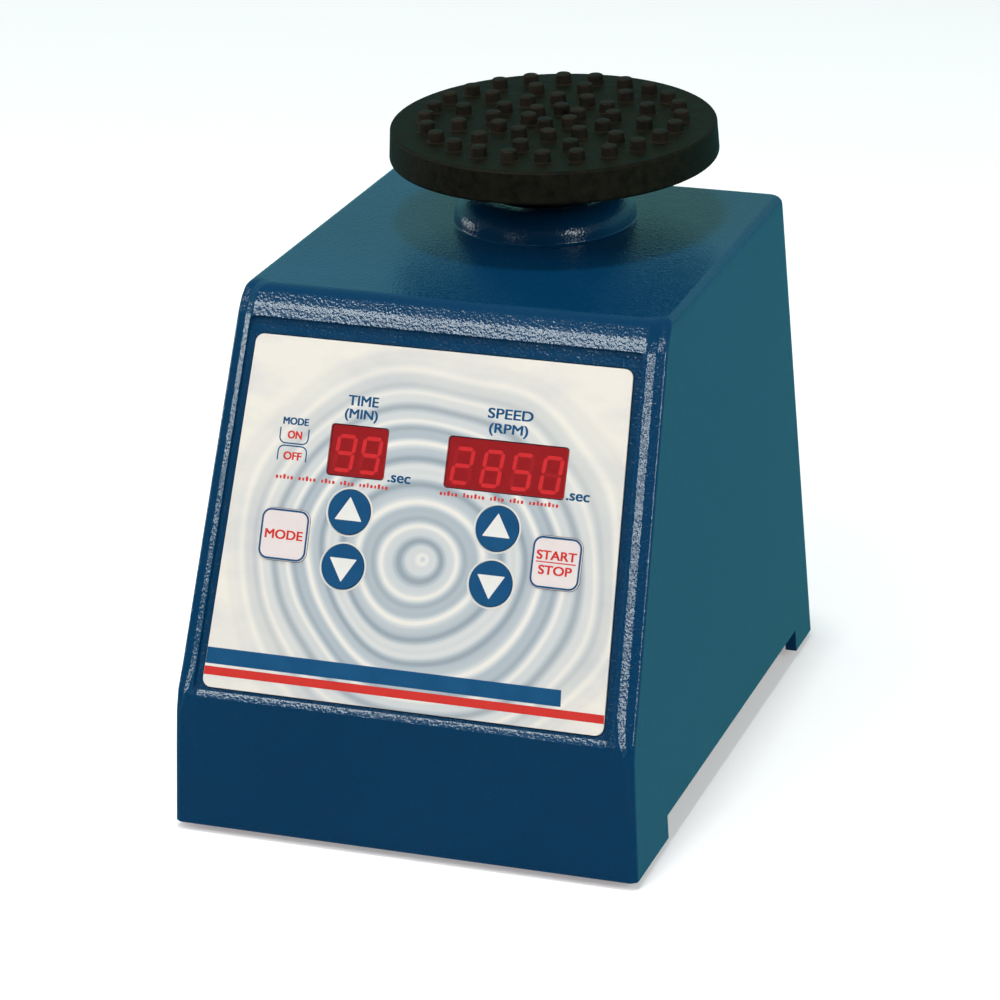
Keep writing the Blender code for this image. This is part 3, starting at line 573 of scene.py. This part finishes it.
def housing_inside():
    """The hollow: the side outline drawn in by the wall, running out below."""
    shape = bmesh.new()
    slope = math.atan2(FRONT[2][1] - FRONT[1][1], FRONT[2][0] - FRONT[1][0])
    below = 10.0 * MM
    low = FLOOR_GAP - below
    profile = [(-HALF_DEPTH + WALL - below * FACE_LEAN / FACE_RISE, low),
               (FRONT[1][0] + WALL, FRONT[1][1] - 0.4 * MM),
               (FRONT[2][0] + WALL / math.tan(slope / 2) * 0.85, TOP - WALL),
               (REAR_TOP - 0.9 * WALL, TOP - WALL), (HALF_DEPTH - WALL + below * 0.075, low)]
    face = shape.faces.new([shape.verts.new((-1, y, z)) for y, z in profile])
    grown = bmesh.ops.extrude_face_region(shape, geom=[face])
    far = [v for v in grown["geom"] if isinstance(v, bmesh.types.BMVert)]
    bmesh.ops.translate(shape, vec=(2, 0, 0), verts=far)
    for vert in shape.verts:
        vert.co.x *= half_width(vert.co.y, vert.co.z) - WALL
    return new_mesh("hollow", shape)


def label_outline(side, below, above, radius):
    """The film's outline in mm, grown at the sides, the bottom and the top."""
    low = LABEL_HALF_BOTTOM + side
    high = LABEL_HALF_TOP + side
    bottom = LABEL_BOTTOM - below
    top = LABEL_TOP + above
    return rounded(((-low, bottom), (low, bottom), (high, top), (-high, top)), radius, 8)


def recess_cutter():
    """The frame round the film: a flat floor, steep sides and a sloped lower edge."""
    depth = 0.45
    floor = label_outline(2.1, 1.0, 4.2, 1.4)
    mouth = label_outline(2.3, 1.0, 4.35, 1.5)
    loops = []
    for outline, height in ((floor, -depth), (mouth, 4.0)):
        loop = []
        for x, y in outline:
            drop = 1.9 * (height + depth) * min(max((3.5 - y) / 2.0, 0.0), 1.0)
            loop.append((x * MM, (y - drop) * MM, height * MM))
        loops.append(loop)
    return moved(loft("recess", loops), PANEL)


def boss():
    """The raised collar round the drive: soft shoulder, short flank and a small root fillet."""
    outer, root, turn = 23.4 * MM, 0.6 * MM, 6.2 * MM
    high = SHELL_TOP
    profile = [(BORE, TOP - WALL), (BORE, high - 0.8 * MM), (BORE + 0.3 * MM, high - 0.25 * MM),
               (BORE + 0.9 * MM, high)]
    profile += [(outer - turn + turn * math.sin(a), high - turn + turn * math.cos(a))
                for a in (math.radians(9 * k) for k in range(11))]
    profile += [(outer + root - root * math.cos(a), TOP + root - root * math.sin(a))
                for a in (math.radians(15 * k) for k in range(7))]
    profile += [(outer + root, TOP - 0.5 * MM), (BORE + 2 * MM, TOP - WALL)]
    return lathe("boss", profile, 128, (0, MOTOR_Y))


INLET_FLANGE = 2.2 * MM


def rear_matrix():
    """The rear wall's frame at the power inlet, from the CAD flange."""
    low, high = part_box("power_inlet")
    lean = math.atan2(HALF_DEPTH - REAR_TOP, TOP - FLOOR_GAP)
    out = Vector((0, math.cos(lean), math.sin(lean)))
    up = Vector((0, -math.sin(lean), math.cos(lean)))
    points = [v.co for v in NODES["power_inlet"].data.vertices]
    face = max(out.dot(p) for p in points) - INLET_FLANGE
    heights = [up.dot(p) for p in points if out.dot(p) > face + 1.0 * MM]
    matrix = Matrix((Vector((-1, 0, 0)), up, out)).transposed().to_4x4()
    middle = sum(heights) / len(heights)
    matrix.translation = Vector(((low.x + high.x) / 2, 0, 0)) + up * middle + out * face
    return matrix


REAR = rear_matrix()
ROUND_KEYS = ("time_up", "time_down", "speed_up", "speed_down")
KEYS = ROUND_KEYS + ("mode", "start_stop")
WINDOWS = {"time": 15.2, "speed": 31.1}
WINDOW_HEIGHT = 12.8
CORNERS = ("front_left", "front_right", "rear_left", "rear_right")


def make_housing():
    """The painted shell: hollowed, cut for its panel, drive, inlet and side arches, with boss and posts."""
    front, rear = -53.0 * MM, 62.0 * MM
    arches = [(-0.1, front), (0.1, front), (0.1, rear), (-0.1, rear)]
    tools = [housing_inside(), prism("arches", arches, -0.01, FLOOR_GAP + 6.0 * MM), recess_cutter()]
    pocket = label_outline(0.3, 0.3, 0.3, LABEL_RADIUS + 0.3)
    tools.append(moved(prism("pocket", [(x * MM, y * MM) for x, y in pocket], -0.9 * MM, 6 * MM), PANEL))
    tools.append(prism("bore", circle(BORE, (0, MOTOR_Y), 64), TOP - 0.01, TOP + 0.01))
    opening = [(x * MM, y * MM) for x, y in rectangle(27.0, 20.0, 1.0)]
    tools.append(moved(prism("inlet", opening, -0.01, 0.01), REAR))
    for name, width in WINDOWS.items():
        place = panel_place(name + "_window")
        outline = [(x * MM, y * MM) for x, y in rectangle(width - 1.4, WINDOW_HEIGHT - 1.4, 0.5, place)]
        tools.append(moved(prism("window", outline, -0.008, 0.004), PANEL))
    for key in KEYS:
        x, y = panel_place(key + "_key")
        tools.append(moved(prism("hole", circle(2.8 * MM, (x * MM, y * MM), 24), -0.008, 0.004), PANEL))
    shell = combined("housing_shell_detail", housing_outside(), "DIFFERENCE", tools)
    extras = [shell, boss()]
    for name in CORNERS:
        low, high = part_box("base_screw_" + name)
        centre = ((low.x + high.x) / 2, (low.y + high.y) / 2)
        ring = ((4.5 * MM, 10.6 * MM), (4.5 * MM, 34 * MM), (2.0 * MM, 34 * MM), (2.0 * MM, 10.6 * MM))
        extras.append(lathe("post", ring, 32, centre))
    piece("housing_shell_detail", joined("housing", extras), "painted_blue", stands_for=("housing_shell",),
          angle=28)


# ---------------------------------------------------------------- panel: film, print, windows, displays
def cap_height():
    """Height of a capital letter in the built-in face at size one."""
    curve = bpy.data.curves.new("H", "FONT")
    curve.body = "H"
    item = bpy.data.objects.new("H", curve)
    bpy.context.scene.collection.objects.link(item)
    mesh = baked(item)
    return max(v.co.y for v in mesh.vertices)


CAP = cap_height()


def words(text, left, right, middle, cap):
    """Flat lettering in mm on the film, thickened by shifted copies: its ends, its middle and its height."""
    bold = 0.10
    curve = bpy.data.curves.new(text, "FONT")
    curve.body = text
    curve.extrude = 0.01
    curve.resolution_u = 6
    item = bpy.data.objects.new(text, curve)
    bpy.context.scene.collection.objects.link(item)
    mesh = baked(item)
    xs = [v.co.x for v in mesh.vertices]
    wide = (right - left - 2 * bold) / (max(xs) - min(xs))
    tall = (cap - bold) / CAP
    for vert in mesh.vertices:
        x = left + bold + (vert.co.x - min(xs)) * wide
        y = middle - (cap - bold) / 2 + vert.co.y * tall
        vert.co = (x * MM, y * MM, vert.co.z * 2.0 * MM)
    copies = []
    for index, (x, y) in enumerate(((0, 0), (-1, -0.5), (1, -0.5), (-1, 0.5), (1, 0.5))):
        copy = mesh.copy()
        shift = Vector((x * bold, y * bold, 0.001 * index)) * MM
        copies.append(moved(copy, Matrix.Translation(shift)))
    return joined(text, copies)


def ink(outlines):
    """A printed patch, 0.03 mm thick."""
    return slab("ink", outlines, -0.01 * MM, 0.03 * MM, 0.002 * MM)


def line(points, width):
    """A thin printed line with round joints, in mm."""
    curve = bpy.data.curves.new("line", "CURVE")
    curve.dimensions = "3D"
    curve.bevel_depth = width / 2 * MM
    curve.bevel_resolution = 2
    curve.use_fill_caps = True
    spline = curve.splines.new("POLY")
    spline.points.add(len(points) - 1)
    for point, (x, y) in zip(spline.points, points):
        point.co = (x * MM, y * MM, 0, 1)
    item = bpy.data.objects.new("line", curve)
    bpy.context.scene.collection.objects.link(item)
    return moved(baked(item), Matrix.Diagonal((1, 1, 0.08, 1)))


def bracket(left, right, low, high, opens_up):
    """A three-sided line with two round corners, open at the top or at the bottom."""
    corners = ((left, high), (left, low), (right, low), (right, high))
    path = rounded(corners, (0, 1.5, 1.5, 0), 6)
    if not opens_up:
        path = [(x, low + high - y) for x, y in path]
    return line(path, 0.34)


def ticks(left, middle, groups):
    """A row of plain upright ticks in groups, where very small lettering would be."""
    bars = []
    for count in groups:
        for k in range(count):
            tall = 0.80 + 0.34 * ((k * 5 + count) % 3 == 0)
            spot = (left + 0.5, middle - 0.4 + tall / 2)
            bars.append(ink([rectangle(0.46 + 0.16 * ((k + count) % 2), tall, 0.12, spot, 1)]))
            left += 0.98
        left += 1.1
    return joined("ticks", bars)


def make_film():
    """The printed film with its holes for the keys and the windows."""
    holes = [key_outline(key, -0.09, panel_place(key + "_key")) for key in KEYS]
    for name, width in WINDOWS.items():
        holes.append(rectangle(width, WINDOW_HEIGHT, 0.9, panel_place(name + "_window")))
    outline = label_outline(0, 0, 0, LABEL_RADIUS)
    film = slab("panel_film", [outline] + holes, -0.6 * MM, 0.0, 0.05 * MM)
    piece("panel_film", film, "panel_white", stands_for=("panel_overlay",), matrix=PANEL)


def key_outline(key, shrink, centre=(0, 0)):
    if key in ROUND_KEYS:
        return circle(5.5 - shrink, centre, 72)
    return rectangle(12.8 - 2 * shrink, 12.8 - 2 * shrink, 2.6 - shrink, centre, 8)


def make_print():
    """Words, frames, bands and rings printed on the film."""
    blue = [words("TIME", -22.8, -14.8, 76.1, 2.5), words("(MIN)", -23.3, -14.6, 72.85, 2.3),
            words("SPEED", 13.6, 25.3, 76.5, 2.45), words("(RPM)", 14.3, 24.4, 72.95, 2.35),
            words("MODE", -39.2, -32.4, 69.5, 1.75), words(".sec", -10.2, -4.2, 58.5, 2.6),
            words(".sec", 35.9, 41.9, 58.8, 2.6),
            bracket(-39.6, -32.1, 64.0, 67.8, True), bracket(-39.6, -32.1, 59.7, 63.4, False)]
    slope = (LABEL_HALF_BOTTOM - LABEL_HALF_TOP) / (LABEL_TOP - LABEL_BOTTOM)
    edge = {v: LABEL_HALF_BOTTOM - slope * (v - LABEL_BOTTOM) - 0.06 for v in (5.3, 7.4, 8.1, 12.1)}
    blue.append(ink([[(-edge[8.1], 8.1), (40.8, 8.1), (40.5, 12.1), (-edge[12.1], 12.1)]]))
    red = [words("ON", -37.6, -33.8, 66.15, 1.95), words("OFF", -38.1, -33.3, 60.95, 1.95),
           ink([[(-edge[5.3], 5.3), (edge[5.3], 5.3), (edge[7.4], 7.4), (-edge[7.4], 7.4)]]),
           ticks(-39.6, 55.6, (5, 5, 4, 4, 8)), ticks(3.5, 55.8, (5, 6, 4, 4, 8))]
    white = []
    for key in ROUND_KEYS:
        place = panel_place(key + "_key")
        white.append(ink([circle(6.1, place, 72), circle(5.66, place, 72)]))
    piece("print_blue", joined("print", blue), "ink_blue", matrix=PANEL)
    piece("print_red", joined("print", red), "ink_red", matrix=PANEL)
    piece("print_white", joined("print", white), "ink_white", matrix=PANEL)


SEGMENTS = {"0": "abcdef", "2": "abged", "5": "afgcd", "8": "abcdefg", "9": "abcdfg"}
DIGIT_WIDTH, DIGIT_HEIGHT, DIGIT_BAR, DIGIT_SLANT = 5.3, 9.3, 0.98, 0.09


def segment(kind):
    """One bar of a seven-bar digit as a six-sided outline in mm, about the digit's middle."""
    w, h, t = (DIGIT_WIDTH - DIGIT_BAR) / 2, (DIGIT_HEIGHT - DIGIT_BAR) / 2, DIGIT_BAR / 2
    gap = 0.12
    if kind in "agd":
        y = {"a": h, "g": 0.0, "d": -h}[kind]
        return [(-w + gap, y), (-w + t + gap, y + t), (w - t - gap, y + t), (w - gap, y),
                (w - t - gap, y - t), (-w + t + gap, y - t)]
    x = w if kind in "bc" else -w
    low, high = (0, h) if kind in "bf" else (-h, 0)
    return [(x, low + gap), (x + t, low + t + gap), (x + t, high - t - gap), (x, high - gap),
            (x - t, high - t - gap), (x - t, low + t + gap)]


def make_display(name, digits, places):
    """A red pane, the face behind it with its painted glow, and its bars; places are the digits' middles across
    the panel.
    """
    x, y = panel_place(name + "_window")
    outline = rectangle(WINDOWS[name] - 0.5, WINDOW_HEIGHT - 0.5, 0.9, (x, y))
    pane = slab("pane", [outline], -0.6 * MM, 0.02 * MM, 0.06 * MM)
    piece(name + "_pane", pane, "filter_red", stands_for=(name + "_window",), matrix=PANEL)
    # The face and the unlit bars glow as painted light under the pane.
    face = slab("face", [outline], -0.89 * MM, -0.80 * MM, 0.01 * MM)
    piece(name + "_face", face, "display_face", matrix=PANEL)
    bars = {"segment_on": [], "segment_off": []}
    for digit, centre in zip(digits, places):
        for kind in "abcdefg":
            look = "segment_on" if kind in SEGMENTS[digit] else "segment_off"
            bar = [(centre + px + DIGIT_SLANT * py, y - 0.65 + py) for px, py in segment(kind)]
            bars[look].append(moved(ink([bar]), Matrix.Translation((0, 0, -0.79 * MM))))
    for look, meshes in bars.items():
        if meshes:
            piece(f"{name}_{look}", joined(look, meshes), look, matrix=PANEL)


def make_keys():
    """Six caps on stems, each with its mark or words riding on it."""
    top = 0.4
    for key in KEYS:
        node = key + "_key"
        x, y = panel_place(node)
        place = PANEL @ Matrix.Translation((x * MM, y * MM, 0))
        round_key = key in ROUND_KEYS
        cap = slab("cap", [key_outline(key, 0.03)], -0.25 * MM, top * MM, 0.12 * MM)
        stem = prism("stem", circle(2.2 * MM, steps=32), -4.3 * MM, -0.1 * MM)
        piece(node + "_cap", joined("cap", [cap, stem]), "key_blue" if round_key else "key_white", node,
              matrix=place, stands_for=(node,))
        lift = Matrix.Translation((0, 0, top * MM))
        if round_key:
            way = 1 if key.endswith("up") else -1
            mark = ink([rounded(((-3.55, -2.05 * way), (3.55, -2.05 * way), (0, 3.75 * way)), 0.12, 3)])
            piece(node + "_mark", moved(mark, lift), "ink_white", node, matrix=place)
            continue
        edge = ink([key_outline(key, 0.16), key_outline(key, 0.64)])
        piece(node + "_edge", moved(edge, lift), "ink_blue", node, matrix=place)
        if key == "mode":
            text = [words("MODE", -5.0, 5.0, 0.0, 2.25)]
        else:
            text = [words("START", -5.1, 5.1, 1.75, 2.2), words("STOP", -4.3, 4.3, -1.85, 2.2),
                    ink([rectangle(10.2, 0.26, 0.1, (0, 0.05), 2)])]
        piece(node + "_text", moved(joined("text", text), lift), "ink_red", node,
              matrix=place)


# ---------------------------------------------------------------- head
HEAD = JOINTS["head_orbit"]["pos_m"][:2]
COVER_LOW, COVER_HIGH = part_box("platform_cover")
STUD_RISE = 2.7 * MM
STUD_RINGS = ((24, 32.5, 0.0), (12, 24.3, 0.0), (12, 15.2, 15.0), (6, 6.3, 30.0))


def make_cover():
    """The rubber cover and its rings of studs."""
    high = COVER_HIGH.z - STUD_RISE
    low = COVER_LOW.z
    wide, wall = 42.0 * MM, 38.3 * MM
    ceiling = high - 2.7 * MM
    outline = rounded(((0, high), (0, ceiling), (wall, ceiling), (wall, low), (wide, low),
                       (wide - 0.5 * MM, high)), (0, 0, 0.6 * MM, 0.5 * MM, 0.9 * MM, 0.8 * MM), 5)
    skin = lathe("cover", outline, 192, HEAD)
    piece("platform_cover_detail", skin, "black_rubber", "head", stands_for=("platform_cover",))
    studs = []
    side = rounded(((0, -0.4 * MM), (2.25 * MM, -0.4 * MM), (1.95 * MM, STUD_RISE), (0, STUD_RISE)),
                   (0, 0, 0.45 * MM, 0), 4)
    root = [(2.6 * MM, -0.02 * MM), (2.25 * MM, 0.10 * MM), (2.12 * MM, 0.45 * MM)]
    for count, radius, offset in STUD_RINGS:
        for k in range(count):
            angle = math.radians(offset + 360 * k / count)
            spot = (HEAD[0] + radius * MM * math.cos(angle), HEAD[1] + radius * MM * math.sin(angle))
            stud = lathe("stud", [(0, -0.3 * MM)] + root + side[2:], 28, (0, 0))
            studs.append(moved(stud, Matrix.Translation((*spot, high))))
    piece("platform_studs", joined("studs", studs), "stud_rubber", "head", angle=50)


def make_drive():
    """The platform disc, the stem below it and the seal the stem runs through."""
    low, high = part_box("platform_disc")
    disc = rounded(((3.4 * MM, high.z), (3.4 * MM, low.z), (37.7 * MM, low.z), (37.7 * MM, high.z)),
                   0.4 * MM, 3)
    piece("platform_disc_detail", lathe("disc", disc, 128, HEAD), "hard_black", "head",
          stands_for=("platform_disc",))
    low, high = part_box("head_stem")
    flange = high.z
    stem = rounded(((3.0 * MM, flange), (14.0 * MM, flange), (14.0 * MM, flange - 2.9 * MM),
                    (8.5 * MM, flange - 5.7 * MM), (8.5 * MM, 106.0 * MM), (5.0 * MM, 104.5 * MM),
                    (5.0 * MM, low.z), (3.0 * MM, low.z)),
                   (0, 0.5 * MM, 0.8 * MM, 2.0 * MM, 0.3 * MM, 0.2 * MM, 0.3 * MM, 0), 4)
    piece("head_stem_detail", lathe("stem", stem, 96, HEAD), "hard_black", "head",
          stands_for=("head_stem",))
    low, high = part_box("splash_seal")
    seal = rounded(((13.3 * MM, high.z), (13.3 * MM, low.z), (12.4 * MM, low.z), (12.0 * MM, 130.0 * MM),
                    (12.4 * MM, high.z)), 0.3 * MM, 3)
    piece("splash_seal_detail", lathe("seal", seal, 96, (0, MOTOR_Y)), "black_rubber",
          stands_for=("splash_seal",))


def make_spring():
    """The return spring as an even coil with flat ends, riding on the press carriage."""
    low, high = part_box("return_spring")
    wire, turns, steps = 0.40 * MM, 3.6, 130
    radius = (high.x - low.x) / 2 - wire
    curve = bpy.data.curves.new("coil", "CURVE")
    curve.dimensions = "3D"
    curve.bevel_depth = wire
    curve.bevel_resolution = 3
    curve.use_fill_caps = True
    spline = curve.splines.new("POLY")
    spline.points.add(steps)
    for i, point in enumerate(spline.points):
        angle = 2 * math.pi * turns * i / steps
        rise = min(max((i / steps - 0.12) / 0.76, 0.0), 1.0)
        height = low.z + wire + (high.z - low.z - 2 * wire) * rise
        point.co = (radius * math.cos(angle), MOTOR_Y + radius * math.sin(angle), height, 1)
    item = bpy.data.objects.new("coil", curve)
    bpy.context.scene.collection.objects.link(item)
    coil = piece("return_spring_coil", baked(item), "bearing_steel", "press_carriage",
                 stands_for=("return_spring",))
    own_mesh(coil)


# ---------------------------------------------------------------- feet, screws and inlet
def make_underside():
    """Four feet with hollow soles and four cross-slotted screws."""
    for name in CORNERS:
        low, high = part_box("foot_" + name)
        centre = ((low.x + high.x) / 2, (low.y + high.y) / 2)
        foot = rounded(((0, high.z), (0, 0.7 * MM), (3.2 * MM, 0.7 * MM), (3.8 * MM, 0), (6.4 * MM, 0),
                        (8.0 * MM, 4.5 * MM), (8.0 * MM, high.z)),
                       (0, 0, 0.3 * MM, 0.3 * MM, 0.6 * MM, 1.5 * MM, 0.3 * MM), 5)
        piece("foot_" + name + "_detail", lathe("foot", foot, 64, centre), "foot_rubber",
              stands_for=("foot_" + name,))
        low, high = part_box("base_screw_" + name)
        centre = ((low.x + high.x) / 2, (low.y + high.y) / 2)
        head = low.z + 2.2 * MM
        screw = rounded(((0, high.z), (0, low.z), (2.2 * MM, low.z), (3.2 * MM, low.z + 0.8 * MM),
                         (3.2 * MM, head), (1.7 * MM, head), (1.7 * MM, high.z)),
                        (0, 0, 0.5 * MM, 0.3 * MM, 0.1 * MM, 0, 0.2 * MM), 4)
        cross = []
        for w, h in ((3.4, 0.7), (0.7, 3.4)):
            slot = [(centre[0] + x * MM, centre[1] + y * MM) for x, y in rectangle(w, h, 0.15, steps=2)]
            cross.append(prism("slot", slot, low.z - 1 * MM, low.z + 1.1 * MM))
        body = combined("screw", lathe("screw", screw, 48, centre), "DIFFERENCE", cross)
        piece("base_screw_" + name + "_detail", body, "zinc_steel", stands_for=("base_screw_" + name,))


def make_inlet():
    """A three-pin inlet: body and flange with a cut-cornered well, and its blades."""
    body = slab("body", [rectangle(26.4, 19.4, 1.0)], -17.0 * MM, 0.4 * MM, 0.2 * MM)
    flange = slab("flange", [rectangle(31.0, 24.0, 2.0, steps=8)], 0.3 * MM, INLET_FLANGE, 0.35 * MM)
    x, y, cut = 12.2, 8.2, 4.5
    mouth = rounded(((-x, -y), (x, -y), (x, y - cut), (x - cut, y), (cut - x, y), (-x, y - cut)), 0.6, 4)
    cavity = [(px * MM, py * MM) for px, py in mouth]
    well = prism("well", cavity, -14.5 * MM, 6 * MM)
    shell = combined("inlet", body, "UNION", [flange])
    shell = combined("inlet", shell, "DIFFERENCE", [well])
    piece("power_inlet_detail", shell, "black_plastic", stands_for=("power_inlet",), matrix=REAR)
    for index, (u, v) in enumerate(((-7.0, -2.0), (7.0, -2.0), (0.0, 2.0))):
        blade = slab("pin", [rectangle(2.0, 4.0, 0.35, (u, v))], -15.5 * MM, -1.5 * MM, 0.3 * MM)
        piece(f"inlet_pin_{index + 1}", blade, "brass_pin", matrix=REAR)


def finish_cad_nodes():
    """The nodes that keep their CAD shape get the node material of their slot."""
    slots = {sub["node"]: sub["material_slot"] for sub in frame["record"]["subparts"]}
    for name, item in NODES.items():
        look = MATERIALS[slots[name]]
        if not item.material_slots:
            item.data.materials.append(look)
        for place in item.material_slots:
            place.material = look


# ---------------------------------------------------------------- stage
SHEEN = (("strip", -28, 51, (0.95, 0.15), 16.5), ("right", 57, 20, (0.20, 0.24), 15.0),
         ("left", -93, 6, (0.30, 0.12), 9.0), ("front", -20, 10, (0.10, 0.08), 8.0))
FILL = (("key_fill", -18, 50, (0.9, 0.9), 0.34), ("side_fill", 78, 24, (0.9, 0.7), 0.34),
        ("left_fill", -80, 24, (0.9, 0.7), 0.25), ("overhead", 0, 86, (0.22, 0.22), 0.42))
SKY_BACK = ((0.0, (0.06, 0.14, 0.14)), (0.30, (0.08, 0.33, 0.32)), (0.48, (0.08, 0.33, 0.32)),
            (0.58, (0.19, 0.46, 0.43)), (0.72, (0.19, 0.46, 0.43)), (1.0, (0.10, 0.14, 0.16)))
SKY_FRONT = ((0.0, (0.01, 0.015, 0.02)), (0.50, (0.01, 0.02, 0.025)), (1.0, (0.10, 0.14, 0.16)))


def area(name, azimuth, elevation, distance, size, power, colour=(1, 1, 1)):
    """A soft light at an azimuth from the front (positive to the right) and an elevation, in degrees."""
    aim = Vector((0, 0, 0.07))
    a, e = math.radians(azimuth), math.radians(elevation)
    way = Vector((math.sin(a) * math.cos(e), -math.cos(a) * math.cos(e), math.sin(e)))
    lamp = bpy.data.lights.new(name, "AREA")
    lamp.shape = "RECTANGLE"
    lamp.size, lamp.size_y = size
    lamp.energy = power
    lamp.color = colour
    item = bpy.data.objects.new(name, lamp)
    item.location = aim + way * distance
    item.rotation_mode = "QUATERNION"
    item.rotation_quaternion = (-way).to_track_quat("-Z", "Y")
    bpy.context.scene.collection.objects.link(item)
    return item


def make_floor():
    """A pale floor that the enamel doesn't mirror."""
    shape = bmesh.new()
    bmesh.ops.create_grid(shape, x_segments=1, y_segments=1, size=8.0)
    floor = bpy.data.objects.new("floor", new_mesh("floor", shape))
    bpy.context.scene.collection.objects.link(floor)
    look = Finish("pale_floor", {"Specular IOR Level": 0.0, "Roughness": 0.9})
    look.put(look.shader, "Base Color",
             look.ramp(look.noise(3.0), ((0.3, (0.93, 0.93, 0.93)), (0.7, (0.95, 0.95, 0.95)))))
    look.put(look.shader, "Emission Color", (1.0, 0.92, 0.91))
    look.put(look.shader, "Emission Strength", 0.32)
    floor.data.materials.append(look.material)
    floor.visible_glossy = False


def make_world():
    """A room for the enamel to mirror: teal behind the mixer and near black in front of it."""
    world = bpy.data.worlds.new("studio")
    bpy.context.scene.world = world
    world.use_nodes = True
    tree = world.node_tree
    where = tree.nodes.new("ShaderNodeTexCoord")
    split = tree.nodes.new("ShaderNodeSeparateXYZ")
    tree.links.new(where.outputs["Generated"], split.inputs[0])
    skies = []
    for stops in (SKY_BACK, SKY_FRONT):
        lift = tree.nodes.new("ShaderNodeMapRange")
        lift.inputs["From Min"].default_value = -1.0
        tree.links.new(split.outputs["Z"], lift.inputs["Value"])
        ramp = tree.nodes.new("ShaderNodeValToRGB")
        tree.links.new(lift.outputs["Result"], ramp.inputs["Fac"])
        while len(ramp.color_ramp.elements) < len(stops):
            ramp.color_ramp.elements.new(0.5)
        for element, (place, colour) in zip(ramp.color_ramp.elements, stops):
            element.position = place
            element.color = (*colour, 1.0)
        skies.append(ramp)
    turn = tree.nodes.new("ShaderNodeMapRange")
    turn.interpolation_type = "SMOOTHSTEP"
    turn.inputs["From Min"].default_value = -0.2
    turn.inputs["From Max"].default_value = 0.5
    tree.links.new(split.outputs["Y"], turn.inputs["Value"])
    mix = tree.nodes.new("ShaderNodeMix")
    mix.data_type = "RGBA"
    tree.links.new(turn.outputs["Result"], mix.inputs[0])
    tree.links.new(skies[1].outputs["Color"], mix.inputs[6])
    tree.links.new(skies[0].outputs["Color"], mix.inputs[7])
    tree.links.new(mix.outputs[2], tree.nodes["Background"].inputs["Color"])


def make_lights():
    """Small lights seen only as highlights, and broad ones seen only as fill."""
    for name, azimuth, elevation, size, radiance in SHEEN:
        power = radiance * math.pi * size[0] * size[1]
        sheen = area(name, azimuth, elevation, 1.1, size, power, (0.94, 1.0, 0.96))
        sheen.visible_diffuse = False
    for name, azimuth, elevation, size, level in FILL:
        fill = area(name, azimuth, elevation, 1.5, size, level * (1.5 * math.pi) ** 2)
        fill.visible_glossy = False
    bpy.context.scene.view_settings.view_transform = "Standard"


def make_camera():
    """The main view: a long lens from the front right, above."""
    data = bpy.data.cameras.new("camera")
    data.lens = 163.914
    data.sensor_width = 36.0
    data.clip_start, data.clip_end = 0.05, 30.0
    item = bpy.data.objects.new("camera", data)
    item.location = (0.38467, -0.99984, 0.50385)
    turn = Matrix.Rotation(math.radians(21.11), 4, "Z") @ Matrix.Rotation(math.radians(90 - 22.33), 4, "X")
    item.rotation_euler = (turn @ Matrix.Rotation(math.radians(-2.07), 4, "Z")).to_euler()
    bpy.context.scene.collection.objects.link(item)
    bpy.context.scene.camera = item


make_camera()
finish_cad_nodes()
make_housing()
make_film()
make_print()
make_display("time", "99", (-22.3, -15.55))
make_display("speed", "2850", (8.4, 16.1, 23.75, 31.3))
make_keys()
make_cover()
make_drive()
make_spring()
make_underside()
make_inlet()
make_floor()
make_world()
make_lights()
